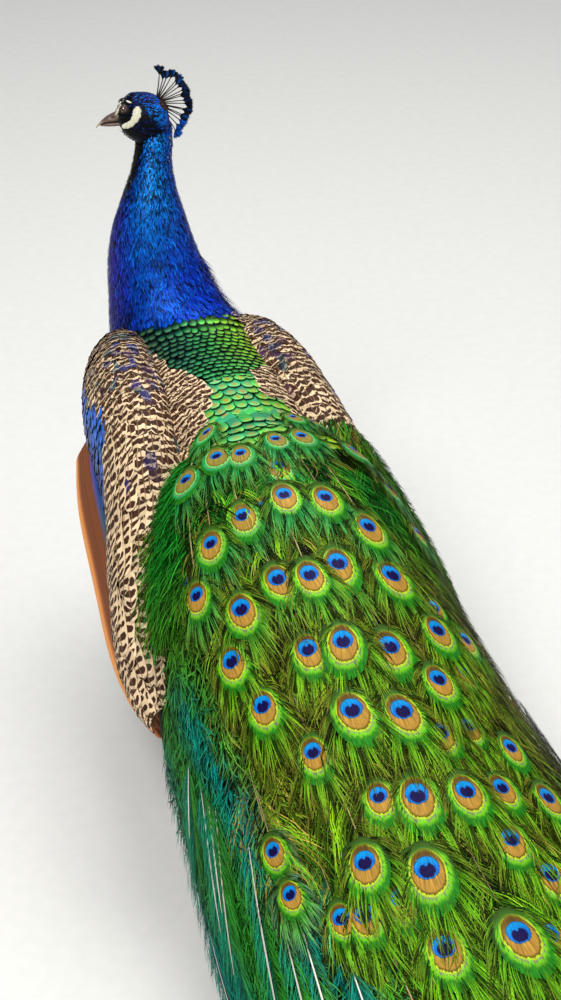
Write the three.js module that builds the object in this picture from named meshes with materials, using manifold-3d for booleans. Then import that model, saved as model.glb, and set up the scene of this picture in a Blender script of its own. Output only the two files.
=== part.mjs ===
// A peacock (the male Indian peafowl) standing, life size, in millimetres, +Z up.
// The bird faces -Y with its head turned to its own left (+X), and its train trails along +Y to the floor.
// Shapes are worked out in the bird's frame, whose origin lies on the floor below the middle of the back.
// The finished group is then moved so that its origin is the middle of the foot of its bounding box.
import * as THREE from "three";
import { mergeVertices } from "three/addons/utils/BufferGeometryUtils.js";
import Module from "manifold-3d";

const wasm = await Module();
wasm.setup();

// ---------------------------------------------------------------- driving dimensions
const GAP = 0.4; // clearance between neighbouring pieces

// Trunk and neck: [back y, back z, breast y, breast z, half width, sideways lean] of sections from rump to throat.
const BODY_SECTIONS = [
  [205, 392, 200, 352, 22, 0],
  [160, 416, 165, 318, 56, 0],
  [90, 430, 100, 272, 88, 0],
  [10, 437, 20, 243, 105, 0],
  [-60, 440, -60, 236, 110, 0],
  [-105, 446, -150, 250, 104, 2],
  [-128, 458, -225, 290, 89, 6],
  [-142, 480, -268, 345, 72, 14],
  [-152, 507, -284, 405, 61, 21],
  [-160, 540, -280, 465, 52, 28],
  [-168, 575, -262, 520, 42, 31],
  [-178, 605, -246, 565, 31, 30],
  [-187, 632, -238, 603, 23, 26],
  [-193, 655, -236, 632, 21, 22],
  [-198, 680, -236, 662, 20.5, 21],
];
const TRUNK_END = 6; // the section where the trunk passes into the neck
const NECK_SPLIT = 10; // the section that parts the lower neck from the upper

// Head frame: origin midway between the eyes' level and the skull's middle, bill along +X, left cheek at +Y.
const HEAD_AT = new THREE.Vector3(56, -216, 692);
const HEAD_YAW = 77; // degrees that the head turns from straight ahead to the bird's left
const HEAD_PITCH = 12; // degrees that the bill points below level
// [along the bill, crown height, throat height, half width] of sections from nape to bill.
const HEAD_SECTIONS = [
  [-48.5, -12, -22, 3],
  [-46, -3, -33, 11],
  [-40, 6, -41, 16.5],
  [-31, 12.5, -46, 19],
  [-21, 15.5, -48, 19.5],
  [-11, 17, -47.5, 19],
  [-3, 13, -43, 17.5],
  [4, 7.5, -36, 14.5],
  [9, 3, -29.5, 11.5],
  [13, -0.5, -22, 8.5],
];
const EYE = { along: 0, out: 10.2, up: 4, radius: 6.3 };
// Bill halves: [along, top height, bottom height, half width]; the tip of the upper one hooks down.
const BILL_UPPER = [
  [8, 0, -12.6, 7],
  [15, -1.6, -12, 6.4],
  [22, -3.6, -11.2, 5.2],
  [29, -7, -11.2, 3.7],
  [34.5, -10.8, -13, 2.3],
  [38.6, -14, -15.6, 0.8],
];
const BILL_LOWER = [
  [8, -12.6, -18.6, 6.4],
  [15, -12, -18, 5.6],
  [22, -11.4, -17, 4.4],
  [28, -11.6, -15.6, 3],
  [33, -12.8, -14.4, 1.2],
];

// Crest: a fan of bare shafts with spatulate tips that meet in a band, out of a tuft behind the crown.
const CREST = { along: -38, up: -1.5, plumes: 15, spread: 71, tuft: 15 };
const PLUME = { shaft: 0.8, tip: 15, tipWidth: 5.4 };
const CREST_LENGTH = { ends: 49, middle: 45 }; // from root to tip, for the outermost and the middle plumes

// Folded wing: [y, middle x, middle z, half width, half height] of sections from the bend of the wing to its tip.
const WING_SECTIONS = [
  [-198, 72, 372, 12, 14],
  [-180, 76, 370, 36, 42],
  [-140, 84, 360, 50, 70],
  [-80, 93, 348, 56, 86],
  [0, 99, 332, 56, 94],
  [90, 110, 310, 54, 90],
  [180, 130, 280, 51, 76],
  [250, 150, 250, 43, 56],
  [305, 162, 226, 28, 36],
  [335, 168, 212, 9, 12],
];
// The bird holds its left wing a little further out and up than its right one.
const WING_HOLD = { left: { side: 1, out: 4, up: 5 }, right: { side: -1, out: -9, up: 0 } };
// Primary feathers below the wing: each blade runs through these outer points, drawn in and up for the inner ones.
const PRIMARY_PATH = [
  [160, -70, 284],
  [172, -20, 262],
  [181, 80, 228],
  [187, 170, 198],
  [182, 238, 174],
  [166, 294, 156],
];
const PRIMARIES = { count: 5, halfDepth: 16, halfThickness: 3.8, stepIn: 6.6, stepUp: 11, stepShort: 0.05 };

// Train: [y, crown height, edge height, half width, thickness at the crown] along its middle line.
const TRAIN_SECTIONS = [
  [100, 436, 404, 74, 12],
  [150, 434, 352, 122, 18],
  [200, 428, 292, 158, 26],
  [260, 414, 236, 179, 36],
  [330, 392, 186, 192, 44],
  [450, 345, 124, 207, 46],
  [600, 285, 70, 228, 44],
  [750, 236, 36, 242, 42],
  [900, 195, 16, 254, 38],
  [1100, 140, 8, 266, 32],
  [1300, 72, 5, 266, 24],
  [1430, 24, 4, 254, 14],
];
// The train's middle line: how far it lies to the bird's left just behind its base, where it starts to swing
// to the bird's right, and how far it swings for each millimetre.
const TRAIN_LINE = { left: -7.5, bend: 350, swing: -0.08 };
const TAIL_LEAN = -20; // the tail fan's middle line ends this far to the bird's right
const TRAIN_EDGE = 9; // thickness of its thin side edges
const TRAIN_CUTS = [0, 4.4, 7.6, 11]; // the sections where the train parts into its three lengths
const TRAIN_CORNER = 250; // how far its outer corners are rounded back from its last feathers
const TRAIN_SCALLOP = { depth: 10, count: 5 };

// Tail quills under the train: [y, middle height, half width, sag of the sides].
const TAIL_SECTIONS = [
  [208, 366, 26, 4],
  [300, 330, 74, 24],
  [400, 286, 104, 44],
  [500, 238, 118, 56],
  [590, 190, 122, 62],
];
const TAIL_THICKNESS = 5;

// Legs: hip and hock are placed in the bird's frame; the feet stand a stride apart.
const STRIDE = 32;
const HIP_OUT = 56;
// Feathered thigh: [share of the way from hip to hock, half depth, half width].
const THIGH_SECTIONS = [
  [0, 50, 34],
  [0.3, 46, 31],
  [0.6, 29, 21],
  [0.85, 15, 12.5],
  [1, 9, 8.5],
];
const HIP = [0, 262];
const HOCK = [46, 150];
const FOOT = [-14, 12];
// Shank: [share of the way from hock to foot, radius].
const SHANK_SECTIONS = [
  [0, 6.5],
  [0.06, 8],
  [0.16, 5.6],
  [0.5, 5],
  [0.86, 5.6],
  [1, 8],
];
const SOLE_RADIUS = 11;
const SPUR = { share: 0.62, length: 22, radius: 4.2, lift: 5 };
// Toes: heading in degrees from straight ahead, positive outwards; length of the fleshy part; claw length.
const TOES = [
  { name: "inner", heading: -30, length: 46, claw: 12 },
  { name: "middle", heading: 2, length: 68, claw: 14 },
  { name: "outer", heading: 34, length: 50, claw: 12 },
  { name: "hind", heading: 172, length: 24, claw: 10 },
];
const TOE_RADIUS = { root: 5.6, tip: 3.6 };

// ---------------------------------------------------------------- materials
const finish = (color, roughness, metalness = 0) =>
  new THREE.MeshStandardMaterial({ color, roughness, metalness });
const MATERIALS = {
  blue_plumage: finish(0x0a2fc0, 0.45, 0.2),
  barred_plumage: finish(0x8a745a, 0.75),
  orange_quills: finish(0xc9752f, 0.55),
  train_plumage: finish(0x3f7a1c, 0.5, 0.2),
  brown_quills: finish(0x5a4634, 0.7),
  thigh_plumage: finish(0x8c7a5e, 0.85),
  crest_plumage: finish(0x12405c, 0.4, 0.2),
  bill_horn: finish(0xb5a08a, 0.4),
  eye: finish(0x1a0f08, 0.08),
  leg_scales: finish(0x8b8578, 0.65),
  claw_horn: finish(0x3a322a, 0.4),
};

// ---------------------------------------------------------------- helpers
const radians = THREE.MathUtils.degToRad;

// Catmull-Rom interpolation of rows of numbers at station s, counted in rows.
function between(rows, s) {
  const last = rows.length - 1;
  const i = Math.min(Math.max(Math.floor(s), 0), last - 1);
  const f = s - i;
  const at = (k) => rows[Math.min(Math.max(k, 0), last)];
  const [a, b, c, d] = [at(i - 1), at(i), at(i + 1), at(i + 2)];
  return b.map((_, k) => {
    const slopeIn = (c[k] - a[k]) / 2;
    const slopeOut = (d[k] - b[k]) / 2;
    const bend = 3 * (c[k] - b[k]) - 2 * slopeIn - slopeOut;
    const twist = 2 * (b[k] - c[k]) + slopeIn + slopeOut;
    return b[k] + f * (slopeIn + f * (bend + f * twist));
  });
}

// A closed solid from a three.js geometry whose every vertex moves to where place(vertex) says.
function shaped(geometry, place) {
  const position = geometry.getAttribute("position");
  const vertex = new THREE.Vector3();
  for (let i = 0; i < position.count; i++) {
    const moved = place(vertex.fromBufferAttribute(position, i));
    position.setXYZ(i, moved.x, moved.y, moved.z);
  }
  return solid(geometry);
}

// A three.js geometry as a manifold, its faces turned to point out.
function solid(geometry) {
  const bare = geometry.clone();
  bare.deleteAttribute("normal");
  bare.deleteAttribute("uv");
  const merged = mergeVertices(bare, 1e-4);
  const triVerts = new Uint32Array(merged.index.array);
  const vertProperties = merged.attributes.position.array;
  const made = new wasm.Manifold(new wasm.Mesh({ numProp: 3, vertProperties, triVerts }));
  if (made.volume() > 0) return made;
  for (let i = 0; i < triVerts.length; i += 3) {
    [triVerts[i + 1], triVerts[i + 2]] = [triVerts[i + 2], triVerts[i + 1]];
  }
  return new wasm.Manifold(new wasm.Mesh({ numProp: 3, vertProperties, triVerts }));
}

// A tube of any section: place(share along, angle round, reach from the middle) gives each point.
function loft(sides, steps, place) {
  const tube = new THREE.CylinderGeometry(1, 1, 1, sides, steps);
  return shaped(tube, (v) => place(v.y + 0.5, Math.atan2(v.x, v.z), Math.hypot(v.x, v.z)));
}

// A thick sheet: place(share across, share along, 0 below or 1 above) gives each point.
function sheet(across, along, place) {
  const slab = new THREE.BoxGeometry(1, 1, 1, across, along, 1);
  return shaped(slab, (v) => place(v.x + 0.5, v.y + 0.5, v.z + 0.5));
}

// The largest body that a cut leaves.
function largest(cut) {
  const bodies = cut.decompose();
  return bodies.reduce((best, body) => (body.volume() > best.volume() ? body : best));
}

function cutAway(whole, ...cutters) {
  return largest(cutters.reduce((rest, cutter) => rest.subtract(cutter), whole));
}

// A named mesh from a manifold.
function piece(name, material, body) {
  const { vertProperties, triVerts } = body.getMesh();
  const geometry = new THREE.BufferGeometry();
  geometry.setAttribute("position", new THREE.BufferAttribute(vertProperties, 3));
  geometry.setIndex(new THREE.BufferAttribute(triVerts, 1));
  const mesh = new THREE.Mesh(geometry, MATERIALS[material]);
  mesh.name = name;
  return mesh;
}

// ---------------------------------------------------------------- trunk and neck
// An elliptical section whose depth runs from breast to back.
function bodyPoint(station, angle, reach, grow = 0) {
  const [backY, backZ, breastY, breastZ, width, lean] = between(BODY_SECTIONS, station);
  const depth = Math.hypot(backY - breastY, backZ - breastZ) / 2;
  const stretch = (reach * Math.cos(angle) * (depth + grow)) / depth;
  return new THREE.Vector3(
    lean + reach * Math.sin(angle) * (width + grow),
    (backY + breastY) / 2 + (stretch * (backY - breastY)) / 2,
    (backZ + breastZ) / 2 + (stretch * (backZ - breastZ)) / 2,
  );
}

function bodyLength(from, to, steps, grow = 0, sides = 18) {
  return loft(sides, steps, (t, angle, reach) =>
    bodyPoint(from + (to - from) * t, angle, reach, grow),
  );
}

const SECTION_GAP = 0.02; // share of a section that parts two lengths of the body, about 0.5 mm
const NECK_TOP = BODY_SECTIONS.length - 1;

// ---------------------------------------------------------------- head, in the head frame
const headGroup = new THREE.Group();
headGroup.position.copy(HEAD_AT);
headGroup.rotation.set(0, radians(HEAD_PITCH), radians(HEAD_YAW - 90), "ZYX");
headGroup.updateMatrix();

function headShape(grow = 0) {
  return loft(14, 11, (t, angle, reach) => {
    const last = HEAD_SECTIONS.length - 1;
    const [along, crown, throat, width] = between(HEAD_SECTIONS, t * last);
    const ends = grow * (2 * t - 1);
    return new THREE.Vector3(
      along + ends,
      reach * Math.sin(angle) * (width + grow),
      (crown + throat) / 2 + reach * Math.cos(angle) * ((crown - throat) / 2 + grow),
    );
  });
}

function billHalf(sections, grow = 0) {
  return loft(10, 7, (t, angle, reach) => {
    const [along, top, bottom, width] = between(sections, t * (sections.length - 1));
    return new THREE.Vector3(
      along,
      reach * Math.sin(angle) * (width + grow),
      (top + bottom) / 2 + reach * Math.cos(angle) * ((top - bottom) / 2 + grow),
    );
  });
}

function eyeball(side, grow = 0) {
  const ball = new THREE.SphereGeometry(EYE.radius + grow, 12, 8);
  return solid(ball.translate(EYE.along, side * EYE.out, EYE.up));
}

// One crest plume: a bare shaft that ends in a flat spatula.
function plume(elevation) {
  const away = Math.abs(elevation) / CREST.spread;
  const length = CREST_LENGTH.middle + (CREST_LENGTH.ends - CREST_LENGTH.middle) * away ** 2;
  const rise = radians(elevation);
  const outward = new THREE.Vector3(-Math.cos(rise), 0, Math.sin(rise));
  const across = new THREE.Vector3(Math.sin(rise), 0, Math.cos(rise));
  const root = new THREE.Vector3(CREST.along, 0, CREST.up);
  return loft(4, 5, (t, angle, reach) => {
    const travelled = length * t;
    const tip = Math.max(0, (travelled - length + PLUME.tip) / PLUME.tip);
    const swell = tip > 0 ? PLUME.tipWidth * Math.sin(Math.PI * (0.15 + 0.75 * tip)) : 0;
    return root
      .clone()
      .addScaledVector(outward, travelled)
      .addScaledVector(across, reach * Math.sin(angle) * Math.max(PLUME.shaft, swell))
      .setY(reach * Math.cos(angle) * PLUME.shaft);
  });
}

function crest() {
  const tuft = new THREE.CylinderGeometry(CREST.tuft, CREST.tuft, 2.4, 12);
  let whole = solid(tuft.translate(CREST.along, 0, CREST.up));
  for (let i = 0; i < CREST.plumes; i++) {
    const share = i / (CREST.plumes - 1);
    whole = whole.add(plume(CREST.spread * (2 * share - 1)));
  }
  return whole;
}

// ---------------------------------------------------------------- wings
function wing(hand, grow = 0) {
  const { side, out, up } = WING_HOLD[hand];
  const last = WING_SECTIONS.length - 1;
  return loft(14, 13, (t, angle, reach) => {
    const [y, x, z, width, height] = between(WING_SECTIONS, t * last);
    return new THREE.Vector3(
      side * (x + out + reach * Math.sin(angle) * (width + grow)),
      y + grow * (2 * t - 1),
      z + up + reach * Math.cos(angle) * (height + grow),
    );
  });
}

// A blade of vane that narrows to its tip; each inner one lies further in and up, and ends sooner.
function primary(side, order, grow = 0) {
  const { halfDepth, halfThickness, stepIn, stepUp, stepShort } = PRIMARIES;
  return sheet(1, 6, (u, v, outer) => {
    const along = v * (1 - order * stepShort);
    const [x, y, z] = between(PRIMARY_PATH, along * (PRIMARY_PATH.length - 1));
    const depth = halfDepth * Math.sqrt(1 - 0.98 * v ** 4) + grow;
    return new THREE.Vector3(
      side * (x - order * stepIn + (outer ? 1 : -1) * (halfThickness + grow)),
      y,
      z + order * stepUp + (2 * u - 1) * depth,
    );
  });
}

function primaries(side, grow = 0) {
  let fan = primary(side, 0, grow);
  for (let order = 1; order < PRIMARIES.count; order++) fan = fan.add(primary(side, order, grow));
  return fan;
}

// ---------------------------------------------------------------- train and tail
// How far the train's middle line lies to the bird's left at y.
function trainMiddle(y) {
  const { left, bend, swing } = TRAIN_LINE;
  return left * Math.min(Math.max((y - 100) / (bend - 100), 0), 1) + swing * Math.max(0, y - bend);
}

// The train arches from one low edge over its crown to the other, and its last feathers end in a scalloped curve.
function trainLength(from, to, grow = 0) {
  const steps = Math.max(3, Math.round(1.1 * (to - from)));
  return sheet(20, steps, (u, v, above) => {
    const station = from + (to - from) * v;
    const [y, crown, edge, width, thick] = between(TRAIN_SECTIONS, station);
    const across = 2 * u - 1;
    const arc = (across * Math.PI) / 2;
    const shareToEnd = Math.max(0, (y - 900) / 530);
    const rounding = TRAIN_CORNER * Math.abs(across) ** 3;
    const scallop = TRAIN_SCALLOP.depth * Math.cos(across * TRAIN_SCALLOP.count * Math.PI);
    const depth = TRAIN_EDGE + (thick - TRAIN_EDGE) * Math.cos(arc);
    const out = above ? grow : -depth - grow;
    const rise = (crown - edge) * Math.cos(arc);
    return new THREE.Vector3(
      trainMiddle(y) + (width + out) * Math.sin(arc),
      y - shareToEnd ** 2 * (rounding + scallop),
      Math.max(edge + rise + out * Math.cos(arc), above ? TRAIN_EDGE : 0),
    );
  });
}

// The tail quills lie in a shallow fan whose sides sag.
function tailFan(grow = 0) {
  return sheet(8, 5, (u, v, above) => {
    const [y, z, width, sag] = between(TAIL_SECTIONS, v * (TAIL_SECTIONS.length - 1));
    const across = 2 * u - 1;
    const rounding = 40 * v ** 3 * across ** 2;
    return new THREE.Vector3(
      TAIL_LEAN * v + across * (width + grow),
      y - rounding,
      z - sag * across ** 2 + (above ? TAIL_THICKNESS + grow : -grow),
    );
  });
}

// ---------------------------------------------------------------- legs
function legPoint([y, z], side, forward) {
  return new THREE.Vector3(side * HIP_OUT, y + forward, z);
}

function limb(sections, start, end, sides, steps, reachOf) {
  const axis = end.clone().sub(start).normalize();
  const across = new THREE.Vector3(1, 0, 0);
  const deep = new THREE.Vector3().crossVectors(axis, across).normalize();
  return loft(sides, steps, (t, angle, reach) => {
    const { share, depth, width } = reachOf(between(sections, t * (sections.length - 1)));
    return start
      .clone()
      .lerp(end, share)
      .addScaledVector(across, reach * Math.sin(angle) * width)
      .addScaledVector(deep, reach * Math.cos(angle) * depth);
  });
}

function thigh(side, forward, grow = 0) {
  const hip = legPoint(HIP, side, 0);
  const hock = legPoint(HOCK, side, forward);
  return limb(THIGH_SECTIONS, hip, hock, 12, 6, ([share, depth, width]) => ({
    share,
    depth: depth + grow,
    width: width + grow,
  }));
}

// The shank ends in a low round sole that stands flat on the floor.
function shank(side, forward, grow = 0) {
  const hock = legPoint(HOCK, side, forward);
  const foot = legPoint(FOOT, side, forward);
  const bone = limb(SHANK_SECTIONS, hock, foot, 8, 8, ([share, radius]) => ({
    share,
    depth: radius + grow,
    width: radius + grow,
  }));
  const sole = new THREE.SphereGeometry(SOLE_RADIUS + grow, 10, 7);
  const pad = shaped(sole, (v) => new THREE.Vector3(v.x, v.y, Math.max(v.z + FOOT[1] - 3, 0)));
  return bone.add(pad.translate([foot.x, foot.y, 0]));
}

// A spur stands out of the back of the shank, a little inwards and up.
function spur(side, forward) {
  const hock = legPoint(HOCK, side, forward);
  const foot = legPoint(FOOT, side, forward);
  const root = hock.clone().lerp(foot, SPUR.share);
  return loft(6, 3, (t, angle, reach) => {
    const radius = SPUR.radius * (1 - 0.9 * t);
    return new THREE.Vector3(
      root.x - side * 4 * t + reach * Math.sin(angle) * radius,
      root.y + SPUR.length * t,
      root.z + SPUR.lift * t ** 2 + reach * Math.cos(angle) * radius,
    );
  });
}

// Toe and claw lie along one heading from the sole; the toe's underside is flat on the floor.
function alongToe(side, forward, toe, distance, out, up) {
  const foot = legPoint(FOOT, side, forward);
  const heading = radians(toe.heading);
  const ahead = new THREE.Vector3(side * Math.sin(heading), -Math.cos(heading), 0);
  const across = new THREE.Vector3(-ahead.y, ahead.x, 0);
  const point = foot.clone().setZ(0).addScaledVector(ahead, distance);
  return point.addScaledVector(across, out).setZ(up);
}

function toeShape(side, forward, toe, grow = 0) {
  const reachOut = SOLE_RADIUS + toe.length;
  const { root, tip } = TOE_RADIUS;
  return loft(8, 4, (t, angle, reach) => {
    const knuckle = 0.5 * Math.cos(6 * Math.PI * t);
    const radius = root + (tip - root) * t + knuckle + grow;
    const height = reach * Math.cos(angle) * radius + radius * 0.8;
    return alongToe(side, forward, toe, reachOut * t, reach * Math.sin(angle) * radius, Math.max(height, 0));
  });
}

// A claw curves down from the toe's end, and its point rests on the floor.
function claw(side, forward, toe) {
  const start = SOLE_RADIUS + toe.length + GAP;
  return loft(6, 3, (t, angle, reach) => {
    const radius = 2.7 * (1 - 0.85 * t);
    const middle = 3.2 * (1 - t ** 2) + 0.5;
    const height = middle + reach * Math.cos(angle) * radius;
    const out = reach * Math.sin(angle) * radius * 0.8;
    return alongToe(side, forward, toe, start + toe.claw * t, out, Math.max(height, 0));
  });
}

// ---------------------------------------------------------------- assembly
const bird = new THREE.Group();
const add = (name, material, body) => bird.add(piece(name, material, body));

const grownTrunk = bodyLength(0, TRUNK_END, 12, GAP);
const grownBody = grownTrunk.add(bodyLength(TRUNK_END, NECK_SPLIT, 7, GAP));
const grownWings = wing("left", GAP).add(wing("right", GAP));
const grownPrimaries = primaries(1, GAP).add(primaries(-1, GAP));
const headMatrix = headGroup.matrix.toArray();
const grownHead = headShape(GAP).transform(headMatrix);
const grownNeckTop = bodyLength(NECK_SPLIT, NECK_TOP, 6, GAP).transform(
  headGroup.matrix.clone().invert().toArray(),
);

add("trunk", "blue_plumage", bodyLength(0, TRUNK_END, 12));
add("neck_lower", "blue_plumage", bodyLength(TRUNK_END + SECTION_GAP, NECK_SPLIT, 7));
add(
  "neck_upper",
  "blue_plumage",
  cutAway(bodyLength(NECK_SPLIT + SECTION_GAP, NECK_TOP, 6), grownHead),
);

const billCutter = billHalf(BILL_UPPER, GAP).add(billHalf(BILL_LOWER, GAP));
const eyeCutter = eyeball(1, GAP).add(eyeball(-1, GAP));
headGroup.add(
  piece("head", "blue_plumage", cutAway(headShape(), billCutter, eyeCutter)),
  piece("bill_upper", "bill_horn", billHalf(BILL_UPPER)),
  piece("bill_lower", "bill_horn", cutAway(billHalf(BILL_LOWER), billHalf(BILL_UPPER, GAP))),
  piece("eye_left", "eye", eyeball(1)),
  piece("eye_right", "eye", eyeball(-1)),
  piece("crest", "crest_plumage", cutAway(crest(), headShape(GAP), grownNeckTop)),
);
bird.add(headGroup);

const train = TRAIN_CUTS.slice(1).map((to, i) => {
  const from = TRAIN_CUTS[i] + (i ? SECTION_GAP / 4 : 0);
  return cutAway(trainLength(from, to), grownTrunk, grownWings, grownPrimaries, tailFan(GAP));
});
["train_base", "train_middle", "train_end"].forEach((name, i) =>
  add(name, "train_plumage", train[i]),
);
add("tail_quills", "brown_quills", cutAway(tailFan(), grownTrunk, grownWings, grownPrimaries));

for (const [side, hand, forward] of [
  [1, "left", -STRIDE / 2],
  [-1, "right", STRIDE / 2],
]) {
  const grownThigh = thigh(side, forward, GAP);
  const grownShank = shank(side, forward, GAP);
  add(`wing_${hand}`, "barred_plumage", cutAway(wing(hand), grownBody));
  add(`primaries_${hand}`, "orange_quills", cutAway(primaries(side), grownTrunk, grownWings));
  add(`thigh_${hand}`, "thigh_plumage", cutAway(thigh(side, forward), grownTrunk, grownWings, grownShank));
  add(`shank_${hand}`, "leg_scales", shank(side, forward));
  add(`spur_${hand}`, "claw_horn", cutAway(spur(side, forward), grownShank, grownThigh));
  const fleshy = TOES.map((toe) => toeShape(side, forward, toe));
  TOES.forEach((toe, i) => {
    const earlier = TOES.slice(0, i).map((other) => toeShape(side, forward, other, GAP));
    add(`toe_${toe.name}_${hand}`, "leg_scales", cutAway(fleshy[i], grownShank, ...earlier));
    add(`claw_${toe.name}_${hand}`, "claw_horn", claw(side, forward, toe));
  });
}

// The origin goes to the middle of the foot of the bounding box.
const extent = new THREE.Box3().setFromObject(bird, true);
const middle = extent.getCenter(new THREE.Vector3());
bird.position.set(-middle.x, -middle.y, -extent.min.z);

export default bird;
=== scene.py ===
"""A standing peacock at life size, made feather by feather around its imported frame.

The tables are in millimetres in the bird's own axes: x to its left, y towards the train, z up, and it
faces -y. Each surface of the bird is a function of a station along it and an angle round it. Feathers
are laid on those surfaces as whole arrays, and a Sheaf turns them into one mesh.
"""

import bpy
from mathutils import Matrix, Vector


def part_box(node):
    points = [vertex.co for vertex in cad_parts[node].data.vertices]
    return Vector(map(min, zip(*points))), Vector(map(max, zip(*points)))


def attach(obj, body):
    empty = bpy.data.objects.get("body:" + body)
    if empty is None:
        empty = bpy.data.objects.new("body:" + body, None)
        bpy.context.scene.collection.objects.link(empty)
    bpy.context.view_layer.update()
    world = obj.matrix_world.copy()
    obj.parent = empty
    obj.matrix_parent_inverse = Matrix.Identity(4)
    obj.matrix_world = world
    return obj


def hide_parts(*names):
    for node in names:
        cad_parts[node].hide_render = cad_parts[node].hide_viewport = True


bl_info = {
    "name": "Standing Peacock",
    "version": (1, 0, 0),
    "blender": (4, 5, 0),
    "location": "View3D > Sidebar > Peacock",
    "description": "Builds a life-size standing peacock, feather by feather",
    "category": "Object",
}

import bpy
import numpy as np
from bpy.props import FloatProperty, FloatVectorProperty, IntProperty, PointerProperty
from mathutils import Matrix

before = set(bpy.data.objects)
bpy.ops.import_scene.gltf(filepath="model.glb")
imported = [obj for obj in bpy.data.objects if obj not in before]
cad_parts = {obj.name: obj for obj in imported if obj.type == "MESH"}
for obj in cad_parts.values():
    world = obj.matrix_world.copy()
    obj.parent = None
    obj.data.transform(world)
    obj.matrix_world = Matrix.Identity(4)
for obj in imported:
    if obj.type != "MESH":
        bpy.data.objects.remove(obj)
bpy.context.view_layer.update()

MM = 0.001
TURN = 2 * np.pi
DEG = np.pi / 180
FLOOR_GAP = 0.0004  # metres between the floor and the lowest feather

# ------------------------------------------------------------------ tables of the bird's shape
# Trunk and neck: [back y, back z, breast y, breast z, half width, lean to its left].
BODY_SECTIONS = np.array([
    [205, 392, 200, 352, 22, 0], [160, 416, 165, 318, 56, 0], [90, 430, 100, 272, 88, 0],
    [10, 437, 20, 243, 105, 0], [-60, 440, -60, 236, 110, 0], [-105, 446, -150, 250, 104, 2],
    [-128, 458, -225, 290, 89, 6], [-142, 480, -268, 345, 72, 14], [-152, 507, -284, 405, 61, 21],
    [-160, 540, -280, 465, 52, 28], [-168, 575, -262, 520, 42, 31], [-178, 605, -246, 565, 31, 30],
    [-187, 632, -238, 603, 23, 26], [-193, 655, -236, 632, 21, 22], [-198, 680, -236, 662, 20.5, 21],
], float)
HEAD_AT = np.array([56.0, -216.0, 692.0])
HEAD_FORWARD = np.array([0.95308, -0.22004, -0.20791])
HEAD_LEFT = np.array([0.22495, 0.97437, 0.0])
HEAD_UP = np.array([0.20258, -0.04677, 0.97815])
# Head: [along, crown, throat, half width] in the head's own axes.
HEAD_SECTIONS = np.array([
    [-48.5, -12, -22, 3], [-46, -3, -33, 11], [-40, 6, -41, 16.5], [-31, 12.5, -46, 19],
    [-21, 15.5, -48, 19.5], [-11, 17, -47.5, 19], [-3, 13, -43, 17.5], [4, 7.5, -36, 14.5],
    [9, 3, -29.5, 11.5], [13, -0.5, -22, 8.5],
], float)
# Bill halves: [along, top, bottom, half width].
UPPER_BILL = np.array([
    [8, 0, -12.6, 7], [15, -1.6, -12, 6.4], [22, -3.6, -11.2, 5.2], [29, -7, -11.2, 3.7],
    [34.5, -10.8, -13, 2.3], [38.6, -14, -15.6, 0.8],
], float)
LOWER_BILL = np.array([
    [8, -12.6, -18.6, 6.4], [15, -12, -18, 5.6], [22, -11.4, -17, 4.4], [28, -11.6, -15.6, 3],
    [33, -12.8, -14.4, 1.2],
], float)
EYE_OUT, EYE_UP = 10.2, 4.0
# Folded wing: [y, x, z, half width, half height].
WING_SECTIONS = np.array([
    [-198, 72, 372, 12, 14], [-180, 76, 370, 36, 42], [-140, 84, 360, 50, 70], [-80, 93, 348, 56, 86],
    [0, 99, 332, 56, 94], [90, 110, 310, 54, 90], [180, 130, 280, 51, 76], [250, 150, 250, 43, 56],
    [305, 162, 226, 28, 36], [335, 168, 212, 9, 12],
], float)
WING_HOLD = {1: (4, 5), -1: (-9, 0)}  # how far out and up each wing is held
WING_PUFF = {1: 8.5, -1: 1.0}  # how far each wing's long outer feathers stand off it
# Long wing quills: [y, x, z] of the line along their outer edge.
PRIMARY_PATH = np.array([
    [160, -70, 284], [172, -20, 262], [181, 80, 228], [187, 170, 198], [182, 238, 174], [166, 294, 156],
], float)
# Train: [y, crown z, edge z, half width, thickness].
TRAIN_SECTIONS = np.array([
    [100, 436, 404, 74, 12], [150, 434, 352, 122, 18], [200, 428, 292, 158, 26],
    [260, 414, 236, 179, 36], [330, 392, 186, 192, 44], [450, 345, 124, 207, 46],
    [600, 285, 70, 228, 44], [750, 236, 36, 242, 42], [900, 195, 16, 254, 38],
    [1100, 140, 8, 266, 32], [1300, 72, 5, 266, 24], [1430, 24, 4, 254, 14],
], float)
# The train's middle line lies this far to the bird's left, and swings to its right from one place on.
TRAIN_LEFT, TRAIN_BEND, TRAIN_SWING = -7.5, 350, -0.08
TRAIN_TIP = 1462  # no barb reaches further back
SCALE_ROUND = 0.6  # the share of a scale's length where its rounded tip begins
# Tail fan under the train: [y, z, half width, sag].
TAIL_SECTIONS = np.array([
    [208, 366, 26, 4], [300, 330, 74, 24], [400, 286, 104, 44], [500, 238, 118, 56], [590, 190, 122, 62],
], float)
HIP_OUT, HIP, HOCK = 56, (0, 262), (46, 150)
STRIDE = {1: -16, -1: 16}
# Thigh: [share of the way from hip to hock, half depth, half width].
THIGH_SECTIONS = np.array([
    [0, 50, 34], [0.3, 46, 31], [0.6, 29, 21], [0.85, 15, 12.5], [1, 9, 8.5],
], float)


# ------------------------------------------------------------------ surfaces
def between(rows, s):
    """A smooth curve through the rows, one row to each whole station (Catmull-Rom)."""
    last = len(rows) - 1
    s = np.clip(np.asarray(s, float), 0, last)
    i = np.clip(np.floor(s).astype(int), 0, last - 1)
    f = (s - i)[..., None]
    a, b, c, d = (rows[np.clip(i + k, 0, last)] for k in (-1, 0, 1, 2))
    start, end = (c - a) / 2, (d - b) / 2
    return b + f * (start + f * ((3 * (c - b) - 2 * start - end) + f * (2 * (b - c) + start + end)))


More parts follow.
